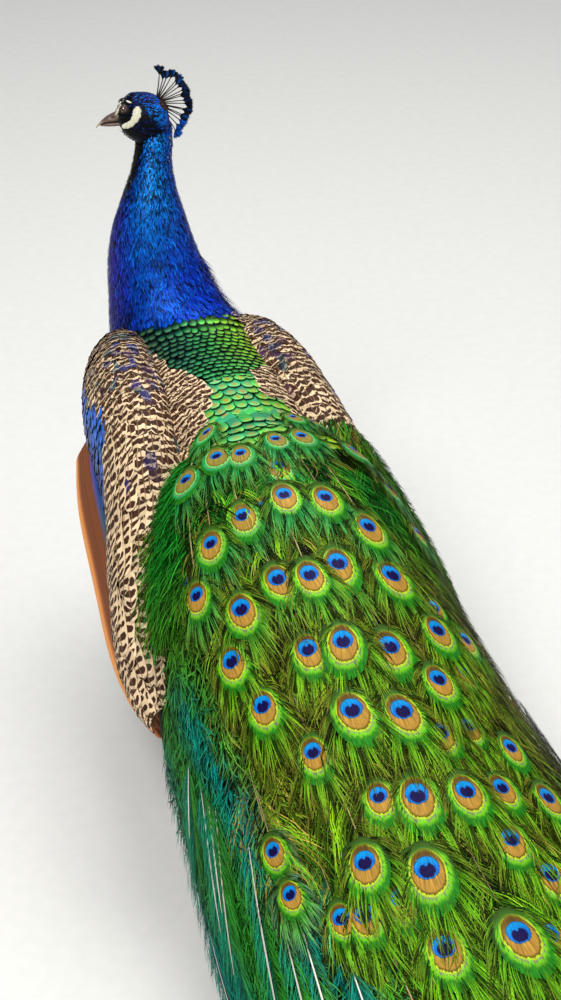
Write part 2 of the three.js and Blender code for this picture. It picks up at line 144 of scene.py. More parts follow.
def columns(rows, s):
    """The columns of a table at stations s, one array each."""
    return np.moveaxis(between(rows, s), -1, 0)


def body_point(s, a, h=0.0):
    """Trunk and neck: an ellipse at each station, angle 0 on the back, a quarter turn to its left."""
    back_y, back_z, breast_y, breast_z, width, lean = columns(BODY_SECTIONS, s)
    depth = np.hypot(back_y - breast_y, back_z - breast_z) / 2
    r = np.cos(a) * (depth + h) / depth
    y = (back_y + breast_y) / 2 + r * (back_y - breast_y) / 2
    z = (back_z + breast_z) / 2 + r * (back_z - breast_z) / 2
    return np.stack([lean + np.sin(a) * (width + h), y, z], -1)


def from_head(along, left, up):
    """A point given along, left and up in the head's axes, in the bird's axes."""
    along, left, up = np.broadcast_arrays(along, left, up)
    return (HEAD_AT + along[..., None] * HEAD_FORWARD + left[..., None] * HEAD_LEFT
            + up[..., None] * HEAD_UP)


def head_point(s, a, h=0.0):
    """Head: an ellipse at each station from nape to forehead, angle 0 on the crown."""
    along, crown, throat, width = columns(HEAD_SECTIONS, s)
    up = (crown + throat) / 2 + np.cos(a) * ((crown - throat) / 2 + h)
    share = np.clip(np.asarray(s, float) / (len(HEAD_SECTIONS) - 1), 0, 1)
    return from_head(along + h * (2 * share - 1), np.sin(a) * (width + h), up)


def wing_surface(side):
    """The surface of one folded wing: an ellipse at each station, angle 0 on top, positive outwards."""
    out, up = WING_HOLD[side]

    def wing_point(s, a, h=0.0):
        y, x, z, width, height = columns(WING_SECTIONS, s)
        share = np.clip(np.asarray(s, float) / (len(WING_SECTIONS) - 1), 0, 1)
        across = side * (x + out + np.sin(a) * (width + h))
        return np.stack([across, y + h * (2 * share - 1) + 0 * a, z + up + np.cos(a) * (height + h)], -1)

    return wing_point


TRAIN_STEPS = between(TRAIN_SECTIONS, np.linspace(0, len(TRAIN_SECTIONS) - 1, 1201))


def train_shape(y):
    """Crown height, edge height, half width and thickness of the train at y."""
    return [np.interp(y, TRAIN_STEPS[:, 0], TRAIN_STEPS[:, k]) for k in range(1, 5)]


def train_point(y, a, h=0.0):
    """Train: half an ellipse over the floor at each y, angle 0 on its crown, its end cut in scallops."""
    crown, edge, width, _ = train_shape(y)
    lean = TRAIN_LEFT * np.clip((y - 100) / 250, 0, 1) + TRAIN_SWING * np.maximum(0, y - TRAIN_BEND)
    across = a / (np.pi / 2)
    late = np.maximum(0, (y - 900) / 530) ** 2
    back = late * (250 * np.abs(across) ** 3 + 10 * np.cos(5 * np.pi * across))
    z = edge + (crown - edge) * np.cos(a) + h * np.cos(a)
    return np.stack([lean + (width + h) * np.sin(a), y - back, np.maximum(z, 2.5)], -1)


def train_under(y, a, h=0.0):
    """Underside of the train, its thickness below the top and growing from the edge to the crown."""
    thick = train_shape(y)[3]
    return train_point(y, a, h - 9 - (thick - 9) * np.cos(a))


def tail_point(s, across, h=0.0):
    """Tail fan: a sheet that sags to both sides, across from -1 to 1."""
    y, z, width, sag = columns(TAIL_SECTIONS, s)
    v = np.asarray(s, float) / (len(TAIL_SECTIONS) - 1)
    return np.stack([-20 * v + across * width, y - 40 * v**3 * across**2, z - sag * across**2 + h], -1)


def leg_point(place, side):
    """A point of one leg, given as (y, z), in the bird's axes."""
    return np.array([side * HIP_OUT, place[0] + STRIDE[side], place[1]], float)


def thigh_surface(side):
    """The surface of one thigh: an ellipse square to the line from hip to hock, angle 0 in front."""
    start = np.array([side * HIP_OUT, HIP[0], HIP[1]], float)
    end = leg_point(HOCK, side)
    axis = (end - start) / np.linalg.norm(end - start)
    deep = np.cross(axis, [1.0, 0, 0])
    deep /= np.linalg.norm(deep)

    def thigh_point(s, a, h=0.0):
        share, depth, width = columns(THIGH_SECTIONS, s)
        middle = start + share[..., None] * (end - start)
        x = (np.sin(a) * (width + h))[..., None] * np.array([1.0, 0, 0])
        return middle + x + (np.cos(a) * (depth + h))[..., None] * deep

    return thigh_point


def seat():
    """How far the row frame lies from the bird's axes, in metres: from where the frame's eyes are."""
    found = [(np.array(low) + np.array(high)) / 2 for low, high in map(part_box, ("eye_left", "eye_right"))]
    return sum(found) / 2 - (HEAD_AT + HEAD_UP * EYE_UP) * MM


SEAT = seat()


# ------------------------------------------------------------------ feathers as arrays
def length_of(v):
    """The length of each vector, kept from nought."""
    return np.sqrt(np.maximum((v**2).sum(-1), 1e-9))


def smooth(x, low, high):
    """0 below low, 1 above high, and a smooth step between."""
    t = np.clip((x - low) / (high - low), 0, 1)
    return t * t * (3 - 2 * t)


def drape(surface, s, a, path, half, lift, across):
    """Strips laid along a surface, as points (strip, row, column), and their distance across in mm.

    Each root (s, a) carries a path of offsets in mm, forward along the stations and sideways round the
    surface. Columns stand across the path at half times across. The offsets become changes of station
    and angle by the stretch of the surface at the root, and lift is the height over the surface.
    """
    step = 0.01
    s_way = (surface(s + step, a) - surface(s - step, a)) / (2 * step)
    a_way = (surface(s, a + step) - surface(s, a - step)) / (2 * step)
    s_length = length_of(s_way)
    along = (a_way * s_way).sum(-1) / s_length
    a_length = np.sqrt(np.maximum((a_way**2).sum(-1) - along**2, 1e-2))
    outward = surface(s, a, np.ones(s.shape)) - surface(s, a)
    hand = np.where((np.cross(s_way, a_way) * outward).sum(-1) < 0, -1.0, 1.0)
    run = np.gradient(path, axis=1)
    run = run / length_of(run)[..., None]
    side = np.stack([-run[..., 1], run[..., 0]], -1)
    out = half[..., None] * across * hand[:, None, None]
    spot = path[:, :, None] + side[:, :, None] * out[..., None]
    turn = spot[..., 1] / a_length[:, None, None]
    shift = (spot[..., 0] - along[:, None, None] * turn) / s_length[:, None, None]
    return surface(s[:, None, None] + shift, a[:, None, None] + turn, lift), out


def strip(surface, s, a, length, width, outline, turn=0.0, bend=0.0, flow=1, rise=(0.5, 2.0), arch=0.0,
          cup=0.0, cols=3, ts=None):
    """Feathers on a surface: rows at shares ts of the length, half width from the outline at each.

    Each leaves its root at the angle turn from the flow and swings by bend towards its tip. Its height
    goes from rise[0] to rise[1], with an arch between them, and its edges droop by cup.
    Returns points, and (across mm, along mm, share of the length).
    """
    count = len(s)
    ts = np.linspace(0, 1, len(outline)) if ts is None else np.asarray(ts, float)
    length, width, turn, bend, arch, cup = (
        np.broadcast_to(np.asarray(v, float), (count,)) for v in (length, width, turn, bend, arch, cup))
    low, high = (np.broadcast_to(np.asarray(v, float), (count,)) for v in rise)
    heading = turn[:, None] + bend[:, None] * (ts[1:] + ts[:-1]) / 2
    steps = np.diff(ts) * length[:, None]
    path = np.zeros((count, len(ts), 2))
    path[:, 1:, 0] = np.cumsum(steps * np.cos(heading), 1) * flow
    path[:, 1:, 1] = np.cumsum(steps * np.sin(heading), 1)
    half = width[:, None] / 2 * np.asarray(outline, float)
    across = np.linspace(-1, 1, cols)
    height = low[:, None] + (high - low)[:, None] * ts + arch[:, None] * 4 * ts * (1 - ts)
    lift = height[..., None] - cup[:, None, None] * across**2 * np.minimum(1, half / half.max())[..., None]
    points, out = drape(surface, s, a, path, half, lift, across)
    along = np.broadcast_to((ts * length[:, None])[..., None], out.shape)
    share = np.broadcast_to(ts[None, :, None], out.shape)
    return points, np.stack([out, along, share], -1)


def ranks(rng, surface, s_range, a_range, pitch, jitter=0.3):
    """Roots in staggered rows, about pitch mm apart, over a patch of a surface.

    Rows run round the surface at even distances along its middle, and each row has as many roots as its
    own length needs.
    """
    fine = np.linspace(s_range[0], s_range[1], 200)
    middle = np.full(200, (a_range[0] + a_range[1]) / 2)
    gaps = length_of(np.diff(surface(fine, middle), axis=0))
    reach = np.concatenate([[0], np.cumsum(gaps)])
    found = []
    for k, d in enumerate(np.arange(0, reach[-1], pitch[0])):
        s = np.interp(d, reach, fine)
        ring = np.linspace(a_range[0], a_range[1], 120)
        arc = np.concatenate([[0], np.cumsum(length_of(np.diff(surface(np.full(120, s), ring), axis=0)))])
        spots = np.arange((k % 2) * pitch[1] / 2, arc[-1], pitch[1])
        found.append(np.stack([np.full(len(spots), s), np.interp(spots, arc, ring)], 1))
    roots = np.concatenate(found)
    s_step = (s_range[1] - s_range[0]) / reach[-1] * pitch[0]
    roots[:, 0] += jitter * s_step * (rng.random(len(roots)) - 0.5)
    a_step = (a_range[1] - a_range[0]) / arc[-1] * pitch[1]
    roots[:, 1] += jitter * a_step * (rng.random(len(roots)) - 0.5)
    return roots[:, 0], roots[:, 1]


class Sheaf:
    """Grids of points gathered with their colours, and made one mesh."""

    def __init__(self):
        self.points, self.tints, self.vanes, self.maps, self.faces = [], [], [], [], []
        self.count = 0

    def add(self, points, tint, vane, root, patch=0.003):
        """Adds grids (grid, row, column). A tint is a linear colour for each grid or each point, and
        root is each grid's corner on the map that the colours are baked on, patch its width there."""
        n, rows, cols = points.shape[:3]
        tint = np.asarray(tint, float)
        tint = tint[:, None, None] if tint.ndim == 2 else tint
        u, v = np.meshgrid(np.linspace(0, 1, cols), np.linspace(0, 1, rows))
        patch = np.broadcast_to(np.asarray(patch, float), (2,))
        spot = root[:, None, None] + np.stack([u, v], -1) * patch
        corner = np.arange(rows - 1)[:, None] * cols + np.arange(cols - 1)
        quad = np.stack([corner, corner + cols, corner + cols + 1, corner + 1], -1).reshape(-1, 4)
        self.faces.append((self.count + np.arange(n)[:, None, None] * rows * cols + quad).reshape(-1, 4))
        self.points.append(points.reshape(-1, 3))
        self.tints.append(np.broadcast_to(tint, points.shape).reshape(-1, 3))
        self.vanes.append(np.broadcast_to(vane, points.shape).reshape(-1, 3))
        self.maps.append(spot.reshape(-1, 2))
        self.count += n * rows * cols

    def piece(self, name, slot, material, *nodes):
        """Makes the mesh, which rides on the root, takes the material as its finish and stands for nodes."""
        points = np.concatenate(self.points) * MM + SEAT
        points[:, 2] = np.maximum(points[:, 2], FLOOR_GAP)
        faces = np.concatenate(self.faces)
        mesh = mesh_of(name, points, faces)
        put_attribute(mesh, "tint", "color", np.concatenate(self.tints))
        put_attribute(mesh, "vane", "vector", np.concatenate(self.vanes))
        layer = mesh.uv_layers.new(name="OFBake")
        layer.data.foreach_set("uv", np.concatenate(self.maps)[faces.ravel()].astype(np.float32).ravel())
        return make_piece(name, mesh, slot, material, *nodes)


def mesh_of(name, points, faces):
    """A smooth mesh from an array of points in metres and an array of four-cornered faces."""
    mesh = bpy.data.meshes.new(name)
    mesh.vertices.add(len(points))
    mesh.vertices.foreach_set("co", np.asarray(points, np.float32).ravel())
    mesh.loops.add(faces.size)
    mesh.loops.foreach_set("vertex_index", faces.astype(np.int32).ravel())
    mesh.polygons.add(len(faces))
    mesh.polygons.foreach_set("loop_start", np.arange(0, faces.size, faces.shape[1], dtype=np.int32))
    mesh.polygons.foreach_set("use_smooth", np.ones(len(faces), bool))
    mesh.update(calc_edges=True)
    mesh.validate()
    return mesh


def put_attribute(mesh, name, kind, values):
    """Writes one opaque color or one vector to each of the mesh's points."""
    attribute = mesh.attributes.new(name, "FLOAT_" + kind.upper(), "POINT")
    if kind == "color":
        values = np.pad(values, ((0, 0), (0, 1)), constant_values=1)
    attribute.data.foreach_set(kind, np.asarray(values, np.float32).ravel())


def make_piece(name, mesh, slot, material, *nodes):
    """An object for the mesh, with its material, body and the nodes it stands for; slot is not used."""
    piece = bpy.data.objects.new(name, mesh)
    bpy.context.scene.collection.objects.link(piece)
    mesh.materials.append(material)
    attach(piece, "root")
    if nodes:
        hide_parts(*nodes)
    return piece


def body_map(s, a):
    """A root's place on the unwrap of the trunk and neck: stations up, angles round."""
    a = (np.asarray(a) + np.pi) % TURN
    return np.stack([0.01 + 0.97 * a / TURN, 0.01 + 0.97 * np.asarray(s) / 14.5], -1)


def patch_map(s, a, s_range, a_range, low, high):
    """A root's place in one region of a map: stations up and angles across, from low to high corner."""
    u = np.clip((np.asarray(a) - a_range[0]) / (a_range[1] - a_range[0]), 0, 1)
    v = np.clip((np.asarray(s) - s_range[0]) / (s_range[1] - s_range[0]), 0, 1)
    return np.array(low) + np.stack([u, v], -1) * (np.array(high) - np.array(low))


def cell_map(count, start=0.0, share=1.0):
    """Corners of count square cells in a band of the map, for feathers that carry a pattern.
    Returns the corners and the width of a cell's patch."""
    per_row = int(np.ceil(np.sqrt(count / share)))
    index = np.arange(count)
    cell = 1 / per_row
    corner = np.stack([index % per_row, index // per_row], 1) * cell
    corner[:, 1] += start
    return corner + 0.06 * cell, 0.88 * cell


# ------------------------------------------------------------------ sizes and colours
def screen(red, green, blue):
    """A colour given as seen on a screen, 0 to 255 each, as the linear colour that shaders take."""
    c = np.array([red, green, blue]) / 255
    return np.where(c < 0.04045, c / 12.92, ((c + 0.055) / 1.055) ** 2.4)


def paint(name, description, *shade):
    """A colour property with its default given as on a screen."""
    return FloatVectorProperty(name=name, description=description, subtype="COLOR", min=0, max=1,
                               default=screen(*shade).tolist())


def distance(name, description, millimetres):
    """A length property, with its default given in millimetres."""
    return FloatProperty(name=name, description=description, unit="LENGTH", subtype="DISTANCE",
                         default=millimetres * MM, min=0)


class PeacockColours(bpy.types.PropertyGroup):
    """Colours of the plumage and the bare parts."""

    azure: paint("Azure", "Bright blue of the nape and the middle of the neck", 0, 112, 232)
    cobalt: paint("Cobalt", "Blue of the neck", 0, 52, 205)
    violet: paint("Violet", "Violet blue of the neck's sides and the crown", 38, 14, 176)
    navy: paint("Navy", "Dark blue of the throat and the breast", 2, 12, 78)
    black: paint("Black", "Black of the face and the gaps between feathers", 7, 8, 12)
    mantle: paint("Mantle green", "Dark green of the upper back", 0, 116, 66)
    lime: paint("Lime", "Yellow green of the scales and the lower train", 128, 208, 22)
    mint: paint("Mint", "Pale green of the scales over the rump", 88, 226, 112)
    tan: paint("Tan", "Tan of the scales' centres and the eyes' ovals", 170, 128, 50)
    cream: paint("Cream", "Pale bars of the wings", 243, 218, 178)
    chocolate: paint("Chocolate", "Dark bars of the wings", 44, 27, 19)
    orange: paint("Orange", "Long wing quills", 236, 122, 32)
    # painted highlight: the lighter colour along the lower edges of the long quills
    rose: paint("Rose", "Lower and inner edges of the long quills", 250, 170, 88)
    covert: paint("Covert blue", "Outer wing coverts", 0, 74, 176)
    belly: paint("Belly", "Blackish green of the belly", 10, 30, 28)
    thigh: paint("Thigh", "Buff of the thighs", 158, 132, 96)
    brown: paint("Brown", "Tail quills under the train", 84, 62, 44)
    green: paint("Green", "Train near the rump", 26, 132, 34)
    olive: paint("Olive", "Middle of the train", 84, 128, 14)
    grass: paint("Grass", "Lower train", 72, 160, 12)
    bronze: paint("Bronze", "Bronze barbs of the train", 104, 78, 34)
    teal: paint("Teal", "Lower flanks of the train", 0, 124, 112)
    shaft: paint("Shaft", "Shafts of the train's feathers", 196, 172, 120)
    ivory: paint("Ivory", "Bare skin of the face and the flank feathers' shafts", 244, 240, 226)
    heart: paint("Eye heart", "Dark heart of each train eye", 14, 3, 62)
    disc: paint("Eye disc", "Bright blue round each heart", 0, 66, 190)
    horn: paint("Horn", "Bill", 104, 82, 66)
    scute: paint("Leg", "Scaly skin of the legs", 142, 130, 112)


class PeacockSizes(bpy.types.PropertyGroup):
    """Sizes and numbers of feathers."""

    coat: distance("Coat depth", "How far the skin lies inside the plumage", 5)
    neck_tuft: distance("Neck feather", "Length of a feather of the neck", 15)
    belly_tuft: distance("Belly feather", "Length of a feather of the belly", 34)
    eye_small: distance("Smallest eye", "Half width of an eye's bronze oval by the rump", 10)
    eye_large: distance("Largest eye", "Half width of an eye's bronze oval at the train's end", 19)
    barb: distance("Barb", "Longest barb of a train feather", 92)
    plumes: IntProperty(name="Crest plumes", description="Plumes in the crest", default=19, min=3)
    seed: IntProperty(name="Seed", description="Start of the random draws", default=7, min=0)


def palette():
    """The colours as arrays, by name."""
    colours = bpy.context.scene.peacock_colours
    return {name: np.array(getattr(colours, name)) for name in PeacockColours.__annotations__}


def size(name):
    """A size in the tables' millimetres."""
    return getattr(bpy.context.scene.peacock_sizes, name) / MM


def draw(offset):
    """Seeded random numbers for one piece."""
    return np.random.default_rng(bpy.context.scene.peacock_sizes.seed + offset)


def blends(share, *colours):
    """Colours mixed by share, 0 the first and 1 the last, evenly between."""
    share = np.clip(np.asarray(share, float), 0, 1) * (len(colours) - 1)
    i = np.clip(np.floor(share).astype(int), 0, len(colours) - 2)
    f = (share - i)[..., None]
    table = np.array(colours)
    return table[i] * (1 - f) + table[i + 1] * f


def laid(tint, share, colour):
    """A colour laid over a tint by its share at each point."""
    share = np.asarray(share)[..., None]
    return tint * (1 - share) + colour * share


def varied(rng, colours, brightness=0.25, hue=0.06):
    """Colours made a little brighter or darker, and each channel a little apart."""
    level = 1 + brightness * rng.uniform(-1, 1, len(colours))[:, None]
    return np.clip(colours * level * (1 + hue * rng.uniform(-1, 1, colours.shape)), 0, 1)


# ------------------------------------------------------------------ materials
SHADER_SOCKETS = {"metallic": "Metallic", "roughness": "Roughness", "specular": "Specular IOR Level",
                  "coat": "Coat Weight", "coat_roughness": "Coat Roughness", "sheen": "Sheen Weight"}


def wire(material, kind, ins, **options):
    """Adds a node, sets its options, and fills its sockets with links or values."""
    tree = material.node_tree
    node = tree.nodes.new("ShaderNode" + kind)
    for key, value in options.items():
        setattr(node, key, value)
    for key, value in ins.items():
        if isinstance(value, Tone):
            tree.links.new(value.socket, node.inputs[key])
        else:
            node.inputs[key].default_value = value
    return node


class Tone:
    """The output of a new node of a material. Sums and products of tones add Math nodes."""

    def __init__(self, material, kind, ins, output=0, **options):
        self.material = material
        self.socket = wire(material, kind, ins, **options).outputs[output]

    def math(self, operation, *values):
        """The result of one Math node on this tone and the values."""
        return Tone(self.material, "Math", dict(enumerate((self, *values))), operation=operation)

    def __add__(self, other):
        return self.math("ADD", other)

    def __sub__(self, other):
        return self.math("SUBTRACT", other)

    def __mul__(self, other):
        return self.math("MULTIPLY", other)

    def __truediv__(self, other):
        return self.math("DIVIDE", other)

    def rises(self, low, high):
        """0 below low, 1 above high, with a smooth step between; the other way round if low is above high."""
        ins = {0: self, 1: low, 2: high} if low < high else {0: self, 1: high, 2: low, 3: 1.0, 4: 0.0}
        return Tone(self.material, "MapRange", ins, interpolation_type="SMOOTHSTEP")

    def stretched(self, *scales):
        """A vector with each part multiplied by its own scale."""
        return Tone(self.material, "VectorMath", {0: self, 1: scales}, operation="MULTIPLY")

    def noise(self, scale, detail=2.0):
        """A noise of the given scale at a place, 0 to 1."""
        return Tone(self.material, "TexNoise", {"Vector": self, "Scale": scale, "Detail": detail}, "Fac")

    def times(self, tone):
        """A colour made darker or brighter by a tone."""
        grey = Tone(self.material, "CombineColor", {0: tone, 1: tone, 2: tone})
        return mixed(1.0, self, grey, "MULTIPLY")


def mixed(share, a, b, way="MIX"):
    """Two colours mixed by share."""
    material = next(value.material for value in (share, a, b) if isinstance(value, Tone))
    a, b = (c if isinstance(c, Tone) else (*c, 1.0) for c in (a, b))
    return Tone(material, "Mix", {0: share, 6: a, 7: b}, 2, data_type="RGBA", blend_type=way)


def new_material(name):
    """A material with its node tree emptied."""
    material = bpy.data.materials.new(name)
    material.use_nodes = True
    material.node_tree.nodes.clear()
    return material


def finish(colour, height=None, relief=0.3, depth=0.0006, **values):
    """Ends a material in one shader, with a bump from the height where there is one."""
    material = colour.material
    ins = {"Base Color": colour} | {SHADER_SOCKETS[key]: value for key, value in values.items()}
    if height is not None:
        ins["Normal"] = Tone(material, "Bump", {"Strength": relief, "Distance": depth, "Height": height})
    wire(material, "OutputMaterial", {0: Tone(material, "BsdfPrincipled", ins)})
    return material


def tint_of(material):
    """The colour that each point of a piece carries."""
    return Tone(material, "Attribute", {}, "Color", attribute_name="tint")


def vane_of(material):
    """The three coordinates that each point of a piece carries, together and apart."""
    vane = Tone(material, "Attribute", {}, "Vector", attribute_name="vane")
    return vane, *(Tone(material, "SeparateXYZ", {0: vane}, k) for k in range(3))


def place_of(material):
    """Object coordinates."""
    return Tone(material, "TexCoord", {}, "Object")


def plume_material(name, pitch, depth, metallic, roughness, slant=1.3, sheen=0.0, shaft=None, root=1.0):
    """Feathers in their own tint, with fine barbs that slant off the shaft, pitch mm apart and darker
    between by depth. Where root is below 1, the tint starts at root times itself: a painted shade by the
    root, where the feathers over it cover it."""
    material = new_material(name)
    place, (_, across, along, share) = place_of(material), vane_of(material)
    side = across.math("ABSOLUTE")
    phase = side * slant + along + place.noise(90.0) * 1.6
    ridge = (phase * (TURN / pitch)).math("SINE") * 0.5 + 0.5
    tone = (ridge * depth + (1 - depth)) * (place.noise(420.0, 3.0) * 0.5 + 0.75)
    # painted shade: the tint darkened towards the root, where the feathers over it cover it
    if root < 1:
        tone = tone * (share.rises(0.1, 0.75) * (1 - root) + root)
    colour = tint_of(material).times(tone)
    if shaft is not None:
        colour = mixed(side.rises(0.9, 0.4), colour, shaft)
    return finish(colour, ridge, 0.35, 0.0004, metallic=metallic, roughness=roughness, sheen=sheen,
                  specular=0.15)


def barred_material(name, cream, chocolate):
    """Pale and dark bars across a feather. Its vane holds the share across, -1 to 1, the distance along
    in bars, and how dark the feather is: dark ones are brown with pale lines, pale ones cream with
    blocks, and above 1 it takes on its tint as a gloss."""
    material = new_material(name)
    tint, (_, across, along, dark) = tint_of(material), vane_of(material)
    side, gleam, dark = across.math("ABSOLUTE"), dark.rises(1.0, 2.0), dark.math("MINIMUM", 1.0)
    place = place_of(material)
    twist = (across * 3.0 + along * 1.7).math("SINE")
    phase = side * side * 0.3 + along + twist * 0.13 + place.noise(110.0, 3.0) * (dark * 1.2 + 0.5)
    rim = side.rises(0.62, 0.95) * (dark * -0.7 + 1.1)
    level = (phase * TURN).math("SINE") + rim * 1.7 - (dark * 0.36 + 0.24)
    fray = place.stretched(1.0, 0.5, 1.0).noise(900.0)
    rust = mixed(fray * 0.4, chocolate, screen(104, 64, 42))
    pale = mixed(fray * 0.75, cream, screen(190, 150, 106))
    colour = mixed(level.rises(-0.12, 0.16), rust, pale)
    colour = mixed(side.rises(0.1, 0.03), colour, screen(120, 88, 60))
    colour = mixed(1.0, colour, mixed(gleam, tint, (1, 1, 1)), "MULTIPLY")
    colour = mixed(gleam * 0.5, colour, tint)
    return finish(colour, fray, 0.25, 0.0003, roughness=0.6, specular=0.12)


def scale_material(name, edge, metallic, root, gleam, line, lime=0.0):
    """Small rounded feathers like scales: a warm middle, their own tint round it, a painted highlight towards
    the tip as strong as gleam and limier by lime, and a dark edge that starts at line. Their vane holds the
    share across, -1 to 1, the share of the length, and how warm the middle is; root is the tone of the
    painted shade by the root, where the scales over it lie."""
    material = new_material(name)
    tint, (_, across, along, warm) = tint_of(material), vane_of(material)
    side = across.math("ABSOLUTE")
    tip = ((along - SCALE_ROUND) / (1 - SCALE_ROUND)).math("MAXIMUM", 0.0)
    square = side * side * (tip * tip * -1 + 1) + tip * tip
    rim = square.math("SQRT") + place_of(material).noise(700.0) * 0.06
    middle = side.rises(0.62, 0.15) * along.rises(0.94, 0.8) * along.rises(0.56, 0.74) * warm
    # painted shade: the part by the root darkened to root times the tint, where the scales over it lie
    dark = mixed(1.0, tint, (root, root, root), "MULTIPLY")
    # painted highlight: brighter and limier towards the tip, by gleam
    bright = mixed(lime, mixed(1.0, tint, (1.7, 1.5, 1.5), "MULTIPLY"), screen(178, 222, 62))
    colour = mixed(along.rises(0.5, 0.8), dark, tint)
    colour = mixed(along.rises(0.66, 0.86) * gleam, colour, bright)
    colour = mixed(middle * 0.75, colour, screen(186, 136, 44))
    colour = mixed(rim.rises(line, line + 0.06), colour, edge)
    return finish(colour, rim, 0.25, metallic=metallic, roughness=0.38, specular=0.15)


def skin_material(name):
    """The skin under the plumage: the coat's own tint with downy grain."""
    material = new_material(name)
    down = place_of(material).stretched(1.0, 0.5, 1.0).noise(260.0, 4.0)
    return finish(tint_of(material).times(down * 0.9 + 0.25), down, 0.5, 0.002, metallic=0.15, roughness=0.6)


# ------------------------------------------------------------------ stage
class PEACOCK_OT_stage(bpy.types.Operator):
    """Lays a pale floor, hangs soft lights and sets the camera"""

    bl_idname = "peacock.stage"
    bl_label = "Stage"

    def execute(self, context):
        scene = context.scene
        scene.view_settings.view_transform = "Standard"
        speck = place_of(new_material("pale_floor")).noise(60.0, 4.0)
        material = finish(mixed(speck, screen(214, 212, 206), screen(224, 222, 216)), speck, 0.1, 0.001,
                          roughness=0.8)
        corners = np.array([[-9, -9, 0], [9, -9, 0], [9, 9, 0], [-9, 9, 0]])
        floor = bpy.data.objects.new("floor", mesh_of("floor", corners, np.array([[0, 1, 2, 3]])))
        floor.data.materials.append(material)
        scene.collection.objects.link(floor)

        world = bpy.data.worlds.new("studio")
        world.use_nodes = True
        sky = world.node_tree.nodes["Background"].inputs
        sky["Color"].default_value = (0.86, 0.92, 1.0, 1)
        sky["Strength"].default_value = 0.36
        scene.world = world
        for name, place, aim, power, width in (
                ("key", (1.58, 1.98, 3.4), (-0.02, 0.58, 0.3), 126, 1.4),
                ("top", (-0.62, -1.02, 3.4), (-0.02, 0.68, 0.2), 76, 1.8),
                ("fill", (-3.02, 2.78, 2.2), (-0.02, 0.78, 0.2), 38, 2.4)):
            light = bpy.data.lights.new(name, "AREA")
            light.energy, light.size = power, width
            lamp = bpy.data.objects.new(name, light)
            scene.collection.objects.link(lamp)
            point(lamp, SEAT + place, np.array(aim) - np.array(place))

        lens = bpy.data.cameras.new("camera")
        lens.sensor_fit, lens.sensor_height, lens.lens = "VERTICAL", 24.0, 55.2
        camera = bpy.data.objects.new("camera", lens)
        scene.collection.objects.link(camera)
        point(camera, SEAT + (0.6709, 2.27506, 1.744), (-0.26206, -0.80654, -0.52992))
        scene.camera = camera
        return {"FINISHED"}


def point(thing, place, way):
    """Puts a light or camera at a place, looking one way with its top up."""
    back = -np.array(way, float) / np.linalg.norm(way)
    right = np.cross([0, 0, 1.0], back)
    right /= np.linalg.norm(right)
    grid = np.eye(4)
    grid[:3, :3] = np.stack([right, np.cross(back, right), back], 1)
    grid[:3, 3] = place
    thing.matrix_world = Matrix(grid.tolist())


# ------------------------------------------------------------------ skin
def blue_edge(a):
    """The station where the blue of the neck ends and mantle or shoulder start, by angle."""
    deg = a / DEG
    left = 0.14 * smooth(deg, -10, 26) + 0.3 * smooth(deg, 16, 44)
    return 5.96 - 0.005 * deg + left + 0.3 * smooth(-deg, 30, 52)


def body_tint(c, s, a):
    """Colours of trunk and neck: azure nape, cobalt middle, violet left, dark throat and belly."""
    s, a = np.broadcast_arrays(np.asarray(s, float), (np.asarray(a, float) + np.pi) % TURN - np.pi)
    deg = a / DEG
    tint = np.broadcast_to(c["cobalt"], s.shape + (3,))
    nape = np.exp(-(((deg - 6) / 44) ** 2)) * smooth(s, 7.5, 11.5)
    middle = np.exp(-(((deg - 24) / 28) ** 2)) * smooth(s, 5.2, 6.5)
    tint = laid(tint, 0.55 * middle, c["azure"])
    tint = laid(tint, 0.95 * nape, screen(0, 136, 222))
    tint = laid(tint, 0.85 * smooth(deg, 40, 78) * (1 - 0.6 * smooth(s, 9, 12)), c["violet"])
    tint = laid(tint, smooth(deg + 9 * (s - 12), 44, 62) * smooth(s, 10.4, 11.4), c["black"])
    tint = laid(tint, 0.75 * smooth(-deg, 38, 80), c["navy"])
    tint = laid(tint, 0.7 * smooth(np.abs(deg), 110, 160), c["navy"])
    tint = laid(tint, smooth(s, 12.6, 13.6) * smooth(np.abs(deg), 80, 140), c["black"])
    # painted shade and highlight in rows: darker just below each row's edge and brighter at it; then two dark
    # patches on the neck, also painted shade
    row = 1.9 * s + 0.4 * np.sin(3.1 * a + 1.7 * s) + 0.25 * np.sin(7.3 * a - 2.0 * s)
    row_light_and_shade = 0.45 + 0.75 * smooth(row % 1, 0.0, 0.3) - 0.3 * smooth(row % 1, 0.45, 1.0)
    patch = 1 - 0.75 * np.exp(-(((s - 6.9) / 0.28) ** 2) - ((deg - 58) / 14) ** 2)
    patch *= 1 - 0.8 * np.exp(-(((s - 8.45) / 0.12) ** 2) - ((deg - 14) / 9) ** 2)
    tint = tint * (row_light_and_shade * patch)[..., None]
    edge = blue_edge(a)
    back = smooth(edge - s, 0.0, 0.1)
    mantle = blends(smooth(-deg, -40, 30), c["mantle"] * 0.5, c["mantle"] * 0.6, c["lime"] * 0.5)
    tint = laid(tint, back * smooth(95 - np.abs(deg), 0, 20), mantle)
    return laid(tint, back * smooth(np.abs(deg), 75, 95) * smooth(5.2 - s, 0, 1.2), c["belly"])


